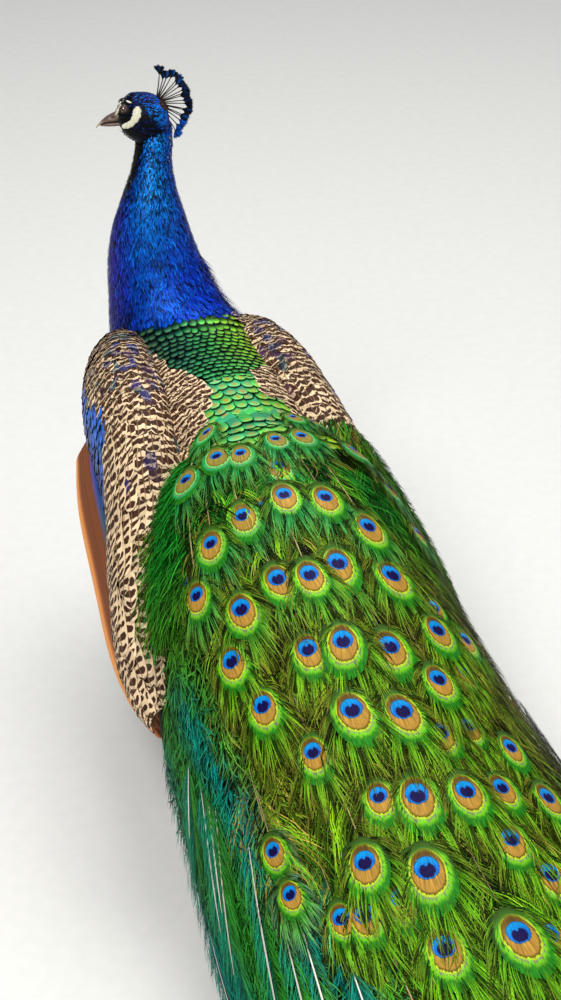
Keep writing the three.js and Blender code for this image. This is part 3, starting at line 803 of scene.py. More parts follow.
def head_tint(c, s, a):
    """Colours of the head: violet crown, azure nape and sides, black face and throat."""
    s, a = np.broadcast_arrays(np.asarray(s, float), np.abs(np.asarray(a, float)))
    deg = a / DEG
    tint = np.broadcast_to(c["azure"], s.shape + (3,))
    tint = laid(tint, smooth(deg, 95, 130), c["cobalt"])
    tint = laid(tint, 0.9 * smooth(58 - deg, 0, 25) * smooth(s, 1.5, 3.0), c["violet"] * 0.7)
    face = smooth(s - 0.02 * (70 - deg), 3.2, 3.9)
    tint = laid(tint, face * smooth(deg, 22, 50), c["black"])
    tint = laid(tint, 0.6 * smooth(s, 3.4, 5.0), c["black"])
    tint = laid(tint, smooth(s, 5.0, 6.2), c["black"])
    return laid(tint, smooth(deg, 105, 135) * smooth(s, 1.2, 2.4), c["black"])


def wing_tint(c, s, a):
    """The wing's ground colour, between its dark and pale bars, with the blue coverts' strip."""
    s, a = np.broadcast_arrays(np.asarray(s, float), np.asarray(a, float))
    tint = np.broadcast_to(c["chocolate"] * 0.8 + c["cream"] * 0.12, s.shape + (3,))
    return laid(tint, smooth(a, 66 * DEG, 76 * DEG) * smooth(5.6 - s, 0, 0.6), c["covert"] * 0.4)


def thigh_tint(c, s, a):
    """The thigh's buff, darker towards the body."""
    return blends(np.asarray(s, float) / 4 + 0 * a, c["belly"] + c["thigh"] * 0.3, c["thigh"], c["thigh"])


def closed(rings):
    """Rings of points, with both ends drawn in to their middle."""
    first, last = (np.broadcast_to(rings[k].mean(0), rings[k].shape) for k in (0, -1))
    return np.concatenate([first[None], rings, last[None]])


def shell(surface, stations, h, sides=40):
    """A closed tube along a surface at height h, drawn in to a point at both ends."""
    s, a = np.meshgrid(stations, np.linspace(-np.pi, np.pi, sides, endpoint=False), indexing="ij")
    points = closed(surface(s, a, h))
    rows = len(points)
    r, k = np.meshgrid(np.arange(rows - 1), np.arange(sides), indexing="ij")
    after = (k + 1) % sides
    faces = np.stack([r * sides + k, (r + 1) * sides + k, (r + 1) * sides + after, r * sides + after], -1)
    return points.reshape(-1, 3), faces.reshape(-1, 4)


def joined(shells):
    """Several meshes' points and faces as one."""
    starts = np.cumsum([0] + [len(points) for points, _ in shells[:-1]])
    return (np.concatenate([points for points, _ in shells]),
            np.concatenate([faces + start for start, (_, faces) in zip(starts, shells)]))


def nearest(points, samples, values, chunk=4000):
    """For each point, the value of the sample that lies nearest to it."""
    square = (samples**2).sum(1)
    found = [np.argmin(square - 2 * points[k:k + chunk] @ samples.T, 1) for k in range(0, len(points), chunk)]
    return values[np.concatenate(found)]


def finished_mesh(piece):
    """The piece's mesh with its modifiers applied."""
    depsgraph = bpy.context.evaluated_depsgraph_get()
    mesh = bpy.data.meshes.new_from_object(piece.evaluated_get(depsgraph))
    old = piece.data
    bpy.data.objects.remove(piece)
    bpy.data.meshes.remove(old)
    return mesh


SKIN_VOXEL = 0.004  # metres
SKIN_PAINTED_SHADE = 0.5  # painted shade: the skin's tone between the feathers, darkened as the shade there


class PEACOCK_OT_skin(bpy.types.Operator):
    """Makes one skin of trunk, neck, head, wings and thighs under the plumage"""

    bl_idname = "peacock.skin"
    bl_label = "Skin"

    def execute(self, context):
        c, depth = palette(), size("coat")
        tubes = [
            (body_point, (0, 14), -depth, body_tint), (head_point, (0, 9), -1.5, head_tint),
            (wing_surface(1), (0.3, 8.2), -depth - 1, wing_tint),
            (wing_surface(-1), (0.3, 8.2), -depth - 1, wing_tint),
            (thigh_surface(1), (0, 4), -depth, thigh_tint), (thigh_surface(-1), (0, 4), -depth, thigh_tint)]
        points, faces = joined([shell(surface, np.linspace(*reach, 60), h) for surface, reach, h, _ in tubes])
        rough = bpy.data.objects.new("rough", mesh_of("rough", points * MM + SEAT, faces))
        context.scene.collection.objects.link(rough)
        remesh = rough.modifiers.new("one_surface", "REMESH")
        remesh.mode, remesh.voxel_size = "VOXEL", SKIN_VOXEL
        even = rough.modifiers.new("even", "SMOOTH")
        even.factor, even.iterations = 0.5, 4
        mesh = finished_mesh(rough)
        spots, tints = [], []
        for surface, reach, h, tint in tubes:
            s, a = np.meshgrid(np.linspace(*reach, 44), np.linspace(-np.pi, np.pi, 36), indexing="ij")
            spots.append(surface(s, a, h).reshape(-1, 3) * MM + SEAT)
            tints.append(np.asarray(tint(c, s, a)).reshape(-1, 3))
        place = np.zeros(len(mesh.vertices) * 3, np.float32)
        mesh.vertices.foreach_get("co", place)
        tints = nearest(place.reshape(-1, 3).astype(float), np.concatenate(spots), np.concatenate(tints))
        # painted shade: the skin takes the coat's tint, darkened as if in the shade between the feathers
        put_attribute(mesh, "tint", "color", tints * SKIN_PAINTED_SHADE)
        mesh.polygons.foreach_set("use_smooth", np.ones(len(mesh.polygons), bool))
        mesh.name = "skin"
        make_piece("skin", mesh, "blue_plumage", skin_material("downy_skin"), "trunk", "neck_lower",
                   "neck_upper", "head", "wing_left", "wing_right", "thigh_left", "thigh_right")
        return {"FINISHED"}


# ------------------------------------------------------------------ neck, breast and belly
ROUND_TIP = (0.45, 0.9, 1.0, 0.78, 0.1)
OVAL_TIP = (0.4, 0.85, 1.0, 0.85, 0.5, 0.08)
HAIR_TIP = (0.6, 1.0, 0.8, 0.1)


class PEACOCK_OT_neck(bpy.types.Operator):
    """Clothes the neck in glossy blue feathers, with fine loose barbs over them"""

    bl_idname = "peacock.neck"
    bl_label = "Neck"

    def execute(self, context):
        c, rng, long = palette(), draw(1), size("neck_tuft")
        under = Sheaf()
        s, a = ranks(rng, body_point, (5.3, 13.9), (-np.pi, np.pi), (6.5, 7.0))
        keep = s > blue_edge(a) - 0.1 - 0.4 * smooth(np.abs(a), 1.4, 1.7)
        s, a = s[keep], a[keep]
        small = 1 - 0.45 * smooth(s, 9, 13.5)
        points, vane = strip(body_point, s, a, long * small * rng.uniform(0.85, 1.2, len(s)), 9.5 * small,
                             ROUND_TIP, rng.normal(0, 0.12, len(s)), rng.normal(0, 0.1, len(s)), -1,
                             (-2.5, rng.uniform(-0.2, 1.2, len(s))), 1.2, 1.2)
        tint = varied(rng, body_tint(c, s, a) * 0.8, 0.3, 0.1)
        under.add(points, tint, vane, body_map(s, a))
        gloss = plume_material("blue_feathers", 0.8, 0.5, metallic=0.35, roughness=0.34, root=0.25)
        under.piece("neck_feathers", "blue_plumage", gloss)

        over = Sheaf()
        for count, long_range, wide, lift in ((13000, (6, 12), 1.3, 0.6), (3600, (9, 17), 1.7, 1.4)):
            s = 5.5 + 8.3 * rng.random(count) ** 1.15
            a = rng.uniform(-np.pi, np.pi, count)
            keep = s > blue_edge(a) - 0.05
            s, a = s[keep], a[keep]
            small = 1 - 0.55 * smooth(s, 9.5, 13.0)
            clump = 0.25 * np.sin(9 * a + 5 * s) + 0.2 * np.sin(23 * a - 13 * s)
            points, vane = strip(body_point, s, a, small * rng.uniform(*long_range, len(s)),
                                 wide * rng.uniform(0.6, 1.2, len(s)), HAIR_TIP,
                                 clump + rng.normal(0, 0.14, len(s)), rng.normal(0, 0.2, len(s)), -1,
                                 (0.2, lift + rng.uniform(0.2, 1.6, len(s))), 0.6, cols=2)
            base = body_tint(c, s, a)
            spark = rng.random(len(s))[:, None]
            shade = base.max(1, keepdims=True) / c["azure"].max()
            light = np.where(spark > 0.78, base * 0.5 + c["azure"] * 0.8 * shade, base)
            light = np.where(spark < 0.1 + 0.26 * smooth(s, 8.5, 11.5)[:, None], base * 0.1, light)
            light = np.where((spark > 0.62) & (spark < 0.7), base * 0.5 + c["violet"] * 0.5 * shade, light)
            over.add(points, varied(rng, light, 0.35, 0.12), vane, body_map(s, a))
        count = 520
        s, a = rng.uniform(5.9, 8.6, count), -rng.uniform(48, 118, count) * DEG
        points, vane = strip(body_point, s, a, rng.uniform(15, 30, count), rng.uniform(1.6, 3.2, count),
                             (0.7, 1.0, 0.8, 0.5, 0.1), rng.uniform(-0.25, 0.3, count), 0.0, -1,
                             (0.0, rng.uniform(2.0, 10.0, count)), 0.5, 0.3)
        over.add(points, varied(rng, body_tint(c, s, a) * 0.7, 0.4, 0.1), vane, body_map(s, a))
        gloss = plume_material("blue_barbs", 2.6, 0.3, metallic=0.3, roughness=0.34, root=0.45)
        over.piece("neck_barbs", "blue_plumage", gloss)
        return {"FINISHED"}


class PEACOCK_OT_belly(bpy.types.Operator):
    """Clothes breast, flanks and belly in dark feathers with a green gloss"""

    bl_idname = "peacock.belly"
    bl_label = "Breast and belly"

    def execute(self, context):
        c, rng, long = palette(), draw(2), size("belly_tuft")
        coat = Sheaf()
        s, a = ranks(rng, body_point, (0.15, 6.4), (52 * DEG, 308 * DEG), (11.0, 11.5))
        keep = s < 6.4 - 0.3 * np.cos(a)
        s, a = s[keep], a[keep]
        small = 1 - 0.4 * smooth(s, 4.5, 6.5)
        points, vane = strip(body_point, s, a, long * small * rng.uniform(0.85, 1.15, len(s)), 17 * small,
                             OVAL_TIP, rng.normal(0, 0.12, len(s)), rng.normal(0, 0.12, len(s)), -1,
                             (-3.0, rng.uniform(-0.5, 1.5, len(s))), 1.5, 2.0)
        tint = varied(rng, body_tint(c, s, (a + np.pi) % TURN - np.pi), 0.3, 0.15)
        coat.add(points, tint, vane, body_map(s, a))
        s = rng.uniform(0.2, 6.3, 6500)
        a = rng.uniform(60 * DEG, 300 * DEG, 6500)
        points, vane = strip(body_point, s, a, rng.uniform(9, 20, len(s)), rng.uniform(0.8, 1.8, len(s)),
                             HAIR_TIP, rng.normal(0, 0.25, len(s)), rng.normal(0, 0.2, len(s)), -1,
                             (0.2, rng.uniform(1.2, 3.0, len(s))), 0.5, cols=2)
        tint = body_tint(c, s, (a + np.pi) % TURN - np.pi)
        glow = np.where(rng.random(len(s))[:, None] > 0.7, tint * 1.2 + c["teal"] * 0.12, tint * 0.6)
        coat.add(points, varied(rng, glow, 0.4, 0.2), vane, body_map(s, a))
        gloss = plume_material("dark_feathers", 1.0, 0.5, metallic=0.4, roughness=0.42)
        coat.piece("breast_and_belly", "blue_plumage", gloss)

        thighs = Sheaf()
        for side in (1, -1):
            leg = thigh_surface(side)
            s, a = ranks(rng, leg, (0.9, 3.95), (0.0, TURN), (5.0, 6.0))
            small = 1 - 0.5 * smooth(s, 1.5, 4)
            points, vane = strip(leg, s, a, 19 * small * rng.uniform(0.8, 1.2, len(s)), 8.5 * small,
                                 OVAL_TIP, rng.normal(0, 0.15, len(s)), rng.normal(0, 0.2, len(s)), 1,
                                 (-3.0, rng.uniform(0.0, 1.4, len(s))), 1.0, 1.2)
            corner = np.array([0.0 if side > 0 else 0.5, 0.0])
            root = patch_map(s, a, (0, 4), (0, TURN), corner + 0.01, corner + (0.48, 0.97))
            thighs.add(points, varied(rng, thigh_tint(c, s, a), 0.3, 0.08), vane, root)
        buff = plume_material("buff_feathers", 1.2, 0.4, metallic=0.05, roughness=0.6)
        thighs.piece("thigh_feathers", "thigh_plumage", buff)
        return {"FINISHED"}


# ------------------------------------------------------------------ back and wings
# Edges of the green back: [station, degrees from the crown line], left and right.
LEFT_EDGE = np.array([
    [1.6, 88], [1.8, 64], [2.0, 50], [2.25, 35], [2.6, 24], [2.95, 14], [3.3, 10], [3.6, 15], [4.1, 23],
    [5.0, 31], [5.5, 36], [5.9, 43], [6.4, 50],
])
RIGHT_EDGE = np.array([
    [2.2, 88], [2.4, 58], [2.5, 42], [2.75, 28], [2.9, 15], [3.4, 12], [3.6, 22], [3.95, 35], [4.4, 42],
    [5.05, 42], [5.7, 40], [6.0, 34],
])


def back_margin(s, a):
    """How far inside the green back a root lies, in degrees; below nought on the barred feathers."""
    left = np.interp(s, *LEFT_EDGE.T)
    right = np.interp(s, *RIGHT_EDGE.T)
    return np.where(a > 0, left - a / DEG, right + a / DEG)


class PEACOCK_OT_back(bpy.types.Operator):
    """Covers the upper back and the rump in green feathers like scales"""

    bl_idname = "peacock.back"
    bl_label = "Back"

    def execute(self, context):
        c, rng = palette(), draw(3)
        mantle, rump = Sheaf(), Sheaf()
        s, a = ranks(rng, body_point, (3.25, 6.5), (-50 * DEG, 56 * DEG), (8.6, 9.4), 0.14)
        keep = (back_margin(s, a) > -4) & (s < blue_edge(a) + 0.12)
        s, a = s[keep], a[keep]
        self.lay(mantle, rng, body_point, s, a, -1, 21, 12.4, self.mantle_tint(rng, s, a), 0.1,
                 body_map(s, a))
        scale = scale_material("mantle_scale", c["black"], metallic=0.4, root=0.12, gleam=0.8, line=0.76,
                               lime=0.15)
        mantle.piece("mantle", "blue_plumage", scale)

        s, a = ranks(rng, body_point, (1.88, 3.45), (-88 * DEG, 88 * DEG), (14.0, 14.6), 0.12)
        keep = back_margin(s, a) > -5
        s, a = s[keep], a[keep]
        # The last rows rise to the train's level, and the train's first rows come out from under them.
        ramp = smooth(2.4 - s, 0, 0.5)
        self.lay(rump, rng, body_point, s, a, -1, 33, 19.4, self.rump_tint(c, rng, body_point(s, a)), 1.0,
                 body_map(s, a), -1.6 + 4.0 * ramp, 1.9 + 12.5 * ramp)
        y, a = ranks(rng, train_point, (100, 186), (-1.1, 0.95), (14.0, 14.6), 0.15)
        keep = y < 186 - 60 * np.abs(a)
        y, a = y[keep], a[keep]
        root = patch_map(y, a, (80, 210), (-1.4, 1.4), (0.02, 0.0), (0.98, 0.05))
        self.lay(rump, rng, train_point, y, a, 1, 33, 19.4, self.rump_tint(c, rng, train_point(y, a)), 0.8,
                 root, -9.0 + 7.4 * smooth(y, 100, 118))
        scale = scale_material("rump_scale", screen(2, 26, 12), metallic=0.25, root=0.7, gleam=0.6,
                               line=0.85, lime=0.4)
        rump.piece("rump", "train_plumage", scale)
        return {"FINISHED"}

    def lay(self, sheaf, rng, surface, s, a, flow, long, wide, tint, warm, root, low=-1.6, high=1.9):
        """Rounded feathers laid like tiles, their vane in shares of the feather."""
        points, vane = strip(surface, s, a, long * rng.uniform(0.92, 1.08, len(s)),
                             wide * rng.uniform(0.92, 1.06, len(s)), (0.4, 0.9, 1.0, 0.92, 0.71, 0.44, 0.08),
                             rng.normal(0, 0.05, len(s)), 0.0, flow,
                             (low, high + rng.uniform(-0.2, 0.5, len(s))), 0.3, 1.2, cols=5,
                             ts=(0, 0.35, SCALE_ROUND, 0.76, 0.88, 0.96, 1.0))
        sheaf.add(points, tint, in_feather(vane, warm * rng.uniform(0.5, 1.1, (len(s), 1, 1))), root)

    def mantle_tint(self, rng, s, a):
        """Teal on the left, green in the middle and yellow green on the right."""
        deg = a / DEG
        tint = blends((34 - deg) / 70, screen(0, 78, 70), screen(2, 104, 76), screen(16, 138, 66),
                      screen(96, 176, 44), screen(140, 190, 34))
        waist = smooth(4.2 - s, 0, 0.8)[..., None]
        return varied(rng, tint * (1 - 0.5 * waist) + 0.5 * waist * screen(50, 190, 100), 0.3, 0.1)

    def rump_tint(self, c, rng, place):
        """Mint in the middle of the rump, lime towards the right and the train."""
        right = smooth(-place[:, 0], 0, 80)
        rear = smooth(place[:, 1], 70, 190)
        tint = c["mint"] + np.maximum(right, rear)[:, None] * (c["lime"] - c["mint"])
        cool = rng.random(len(place))[:, None] < 0.5 - 0.3 * right[:, None]
        tint = np.where(cool, tint * 0.4 + 0.6 * screen(60, 190, 150), tint)
        return varied(rng, tint * 0.8, 0.25, 0.1)


def covert_edge(s):
    """The angle on a wing at which the blue outer coverts start, by station."""
    return np.interp(s, (1.4, 2.5, 3.0, 3.5, 4.0, 4.5, 5.3), (82, 76, 64, 54, 55, 66, 84)) * DEG


def body_bar(s):
    """Distance between bars along the body."""
    return 11.0 - 3.6 * smooth(s, 1.8, 5.6)


def wing_bar(s):
    """Distance between bars along the wing."""
    return 7.0 + 6.5 * smooth(s, 0.8, 4.6)


def bars_to(surface, s, pitch):
    """How many bars lie between a surface's start and each station, so that neighbours' bars line up."""
    fine = np.linspace(0, 9, 300)
    gaps = length_of(np.diff(surface(fine, 0.4 + 0 * fine), axis=0))
    return np.interp(s, fine[1:], np.cumsum(gaps / pitch(fine[1:])))


def in_feather(vane, third):
    """A vane in shares of the feather, -1 to 1 across and 0 to 1 along, with a third value each."""
    across = np.broadcast_to(np.linspace(-1, 1, vane.shape[2]), vane.shape[:3])
    return np.stack([across, vane[..., 2], np.broadcast_to(third, vane.shape[:3])], -1)


class PEACOCK_OT_wings(bpy.types.Operator):
    """Covers shoulders and wings in barred feathers, with blue outer coverts"""

    bl_idname = "peacock.wings"
    bl_label = "Wings"
    glosses = np.array([screen(58, 36, 92), screen(20, 66, 140), screen(74, 44, 66), screen(0, 92, 112),
                        screen(40, 40, 120)])

    def execute(self, context):
        c = palette()
        barred = barred_material("barred_feathers", c["cream"], c["chocolate"])
        covert = scale_material("blue_coverts", c["black"], metallic=0.3, root=0.45, gleam=0.35, line=0.9)
        for side, name in ((1, "left"), (-1, "right")):
            rng = draw(20 + side)
            self.barred(rng, side, barred, f"barred_{name}")
            self.coverts(c, rng, side, covert, f"coverts_{name}")
        return {"FINISHED"}

    def barred(self, rng, side, material, name):
        """Scapulars on the body and coverts and tertials on the wing, small in front, long behind."""
        batches = []
        for low, high, pitch in ((1.7, 3.0, (12, 12)), (3.0, 4.6, (8, 9.5)), (4.6, 6.35, (6, 8))):
            s, a = ranks(rng, body_point, (low, high), (2 * DEG, 92 * DEG), pitch, 0.5)
            a = a * side
            keep = (back_margin(s, a) < -6) & (s < blue_edge(a) + 0.02)
            s, a = s[keep], a[keep]
            front = smooth(s, 1.8, 5.6)
            batches.append((body_point, s, a, -1, 40 - 22 * front, 21 - 8 * front,
                            -bars_to(body_point, s, body_bar), body_bar(s),
                            (-1.5, 3.0 + 3.0 * smooth(s, 5.0, 5.9)), 0.25 + 0.6 * front,
                            0.5 * smooth(s, 4.2, 5.2)))
        wing = wing_surface(side)
        for low, high, gaps in ((0.35, 1.6, (6, 8)), (1.6, 3.4, (9, 10.5)), (3.4, 5.0, (15, 13.5)),
                                (5.0, 8.8, (22, 17))):
            s, a = ranks(rng, wing, (low, high), (-100 * DEG, 128 * DEG), gaps, 0.3)
            keep = ~((a > covert_edge(s)) & (s < 5.6 - 0.5 * rng.random(len(s))) & (s > 1.4))
            s, a = s[keep], a[keep]
            rear = smooth(s, 0.4, 6.0)
            long = np.minimum(17 + 55 * rear, 366 - wing(s, a)[:, 1])
            dark = 0.95 - 0.85 * smooth(s + 0.012 * (a / DEG), 2.6, 5.0)
            puff = WING_PUFF[side] * smooth(s, 3.6, 4.6) * (1 - smooth(s, 8.0, 9.0))
            puff = puff * smooth(a, 20 * DEG, 70 * DEG)
            gloss = np.exp(-(((s - 2.7) / 1.1) ** 2)) * smooth(-a, -1.2, 0)
            batches.append((wing, s, a, 1, long, 13 + 10 * rear, bars_to(wing, s, wing_bar), wing_bar(s),
                            (-2.4 + puff, 1.8 + puff), dark, gloss))
        total = sum(len(batch[1]) for batch in batches)
        corners, width = cell_map(total)
        sheaf, start = Sheaf(), 0
        for surface, s, a, flow, long, wide, start_bar, bar, rise, dark, gloss in batches:
            count = len(s)
            high = rise[1] + rng.uniform(-0.6, 0.8, count)
            points, vane = strip(surface, s, a, long * rng.uniform(0.88, 1.1, count),
                                 wide * rng.uniform(0.9, 1.1, count), (0.4, 0.8, 1.0, 1.0, 0.88, 0.62, 0.14),
                                 rng.normal(0, 0.06, count), rng.normal(0, 0.06, count), flow,
                                 (rise[0], high), 0.8, 1.6, cols=5, ts=(0, 0.2, 0.45, 0.7, 0.85, 0.94, 1))
            across = np.broadcast_to(np.linspace(-1, 1, 5), vane.shape[:3])
            glossy = rng.random(count) < 0.45 * gloss
            dark = np.clip(dark + rng.uniform(-0.15, 0.15, count), 0, 1)
            dark = np.where(glossy, rng.uniform(1.3, 1.9, count), dark)[:, None, None] + 0 * across
            start_bar = start_bar + 0.3 * np.sin(7 * a) + rng.uniform(-0.07, 0.07, count)
            vane = np.stack([across, vane[..., 1] / bar[:, None, None] + start_bar[:, None, None], dark], -1)
            tint = np.array([1.0, 1.0, 1.0]) * rng.uniform(0.72, 1.08, (count, 1))
            tint = np.where(glossy[:, None], self.glosses[rng.integers(0, len(self.glosses), count)], tint)
            sheaf.add(points, tint, vane, corners[start:start + count], width)
            start += count
        sheaf.piece(name, "barred_plumage", material)

    def coverts(self, c, rng, side, material, name):
        """Blue outer coverts with black edges, and dark feathers under the wing below them."""
        wing = wing_surface(side)
        sheaf = Sheaf()
        for s_range, a_range, pitch, long, wide, shades in (
                ((0.5, 5.4), (112, 178), (13, 14), 30, 20, ("belly", "navy")),
                ((1.3, 5.7), (46, 118), (12, 9), 40, 13, ("azure", "azure", "covert", "covert"))):
            s, a = ranks(rng, wing, s_range, np.array(a_range) * DEG, pitch, 0.3)
            keep = (a > covert_edge(s) - 0.1) | (a > 110 * DEG)
            s, a = s[keep], a[keep]
            points, vane = strip(wing, s, a, long * rng.uniform(0.9, 1.1, len(s)), wide,
                                 (0.4, 0.8, 1.0, 1.0, 0.82, 0.3), rng.normal(0, 0.06, len(s)), 0.0, 1,
                                 (-2.4, 1.6 + rng.uniform(-0.3, 1.4, len(s))), 0.8, 1.3, cols=5,
                                 ts=(0, 0.25, 0.5, 0.74, 0.9, 1))
            place = (a / DEG - a_range[0]) / (a_range[1] - a_range[0])
            tint = varied(rng, blends(place, *(c[shade] for shade in shades)) * 0.7, 0.4, 0.1)
            root = patch_map(s, a, (0, 6), (0, np.pi), (0.02, 0.02), (0.97, 0.97))
            sheaf.add(points, tint, in_feather(vane, 0.0), root)
        sheaf.piece(name, "barred_plumage", material)


# What the vanes' line adds to PRIMARY_PATH, and how long the vanes are along it.
QUILL_RAISE = np.array([[4, 0, 34], [2, 0, 20], [0, 0, 6], [0, 0, 0], [0, 0, 0], [0, 0, 0]], float)
QUILL_LONG = 385.0


class PEACOCK_OT_quills(bpy.types.Operator):
    """Lays the long orange quills along each wing's lower edge, and the brown tail quills"""

    bl_idname = "peacock.quills"
    bl_label = "Quills"

    def execute(self, context):
        c = palette()
        material = plume_material("orange_quill", 1.3, 0.3, metallic=0.0, roughness=0.5, slant=1.0,
                                  sheen=0.1, shaft=screen(140, 74, 26))
        for side, name in ((1, "left"), (-1, "right")):
            self.primaries(c, draw(30 + side), side, material, f"quills_{name}", f"primaries_{name}")
        self.tail(c, draw(33))
        return {"FINISHED"}

    def primaries(self, c, rng, side, material, name, node):
        """Ten long vanes beside each other, each a little inside and above the one before."""
        count, rows, cols = 10, 40, 9
        order = np.linspace(0, 4.4, count)[:, None, None]
        v = np.linspace(0, 1, rows)[None, :, None]
        u = np.linspace(-1, 1, cols)[None, None]
        along = v * (1 - order * 0.05)
        path = between(PRIMARY_PATH + QUILL_RAISE, along[..., 0] * 5)[:, :, None]
        half = 15.5 * np.sqrt(1 - 0.985 * v**4) * (0.75 + 0.25 * np.minimum(1, 4 * v))
        x = side * (path[..., 0] - order * 6.6 + 1.4 - u * half * 0.44 - 1.6 * u**2)
        y = path[..., 1] + 0 * u
        z = path[..., 2] + order * 11 + u * half * 0.84
        points = np.stack([x, y, z], -1)
        points = points[:, :, ::-1] if side > 0 else points
        vane = np.stack(np.broadcast_arrays(u * half, v * QUILL_LONG, v + 0 * order), -1)
        # painted highlight: a light rose colour along each vane's lower edge
        tint = laid(c["orange"], 0.8 * np.clip(1.3 - 1.6 * np.abs(u + 0.75), 0, 1) + 0 * v, c["rose"])
        tint = laid(tint, 0.7 * smooth(v, 0.8, 1.0), screen(186, 82, 20))
        # painted shade: each vane darker towards the side that the next vane covers
        tint = tint * (1 - 0.75 * smooth(u, -0.5, 0.1))[..., None]
        blue = smooth(order, 1.8, 2.1) * (1 - smooth(v + 0.02 * order, 0.42, 0.48))
        cover = blends(v + 0 * u, c["azure"] * 0.8, c["covert"], c["covert"], screen(0, 92, 110),
                       *[c["black"]] * 5)
        tint = laid(tint, blue, cover)
        tint = tint[:, :, ::-1] if side > 0 else tint
        sheaf = Sheaf()
        root = np.stack([np.full(count, 0.02), 0.02 + np.arange(count) * 0.097], 1)
        sheaf.add(points, tint * rng.uniform(0.78, 1.1, (count, 1, 1, 1)), vane, root, (0.95, 0.08))
        sheaf.piece(name, "orange_quills", material, node)

    def tail(self, c, rng):
        """Twenty brown vanes spread under the train, each along a line of the tail's sheet."""
        count, rows, cols = 20, 14, 5
        line = np.linspace(-0.92, 0.92, count)[:, None, None]
        v = np.linspace(0, 1, rows)[None, :, None]
        u = np.linspace(-1, 1, cols)[None, None]
        width = 0.1 * np.sqrt(1 - 0.97 * v**6) * (0.4 + 0.6 * np.minimum(1, 3 * v))
        across = np.clip(line + u * width, -1, 1)
        lift = 1.0 + 1.2 * (np.arange(count) % 2)[:, None, None] - 1.0 * u**2
        points = tail_point(np.broadcast_to(4 * v * 0.995, across.shape), across, lift)
        vane = np.stack(np.broadcast_arrays(u * width * 120, v * 390, 0 * across), -1)
        tint = varied(rng, np.tile(c["brown"], (count, 1)), 0.15, 0.05)
        sheaf = Sheaf()
        root = np.stack([0.02 + np.arange(count) * 0.048, np.full(count, 0.02)], 1)
        sheaf.add(points[:, :, ::-1], tint, vane, root, (0.04, 0.95))
        brown = plume_material("brown_quill", 1.4, 0.35, metallic=0.0, roughness=0.55, slant=1.0,
                               sheen=0.1, shaft=screen(150, 128, 96))
        sheaf.piece("tail_quill_vanes", "brown_quills", brown, "tail_quills")


# ------------------------------------------------------------------ head
# White bare skin under each eye: [along, up, half width], from behind the eye down to the bill.
CRESCENT = np.array([
    [-15.4, 5.2, 1.8], [-15.3, 2.6, 4.3], [-13.6, -2.2, 5.4], [-10.4, -7.4, 4.9], [-5.8, -12.0, 3.9],
    [0.0, -15.0, 4.1], [4.6, -16.2, 3.5], [7.6, -17.0, 1.8],
])
STRIPE = np.array([[11.6, -2.4, 0.25], [9.6, 0.0, 0.5], [6.4, 3.6, 0.5], [3.6, 6.8, 0.5], [2.2, 8.0, 0.2]])
BROW = np.array([[-5.0, 12.0, 0.5], [-6.6, 11.5, 1.2], [-8.6, 10.9, 1.2], [-10.6, 10.2, 0.4]])


def face_place(along, up, side):
    """The head's station and angle of a place on its side, given along and up."""
    s = np.interp(along, HEAD_SECTIONS[:, 0], np.arange(len(HEAD_SECTIONS)))
    _, crown, throat, _ = columns(HEAD_SECTIONS, s)
    share = np.clip((up - (crown + throat) / 2) / ((crown - throat) / 2), -0.999, 0.999)
    return s, side * np.arccos(share)


def face_band(rows, side, puff, count=40, cols=9):
    """A band of bare skin along a line on the side of the head, swelling to its middle."""
    t = np.linspace(0, len(rows) - 1, count)
    along, up, half = columns(rows, t)
    run = np.stack([np.gradient(along), np.gradient(up)], -1)
    run /= length_of(run)[:, None]
    u = np.linspace(-1, 1, cols)
    wave = 1 + 0.1 * np.sin(6.1 * t) + 0.07 * np.sin(13 * t)
    x = along[:, None] - run[:, 1:] * u * (half * wave)[:, None]
    z = up[:, None] + run[:, :1] * u * (half * wave)[:, None]
    s, a = face_place(x, z, side)
    rim = (1 - u**2) * np.minimum(1, 6 * np.sin(np.pi * np.linspace(0.01, 0.99, count)))[:, None]
    h = -0.8 + (0.8 + puff) * np.sqrt(np.maximum(rim, 0))
    points = head_point(s, a, h)
    return (points[:, ::-1] if side > 0 else points)[None], x, z


def on_white(s, a):
    """True where a root lies on the white bands of the face."""
    along, crown, throat, _ = columns(HEAD_SECTIONS, s)
    up = (crown + throat) / 2 + np.cos(a) * (crown - throat) / 2
    hit = np.zeros(len(s), bool)
    for rows in (CRESCENT, STRIPE, BROW):
        x, z, half = columns(rows, np.linspace(0, len(rows) - 1, 60))
        near = np.hypot(along[:, None] - x, up[:, None] - z) - half
        hit |= near.min(1) < 0.35
    eye = np.hypot(along, up - EYE_UP) < 5.6
    bill = (along > 9.5) & (up < 2)
    return (hit | eye | bill) & (np.abs(a) < 2.9)


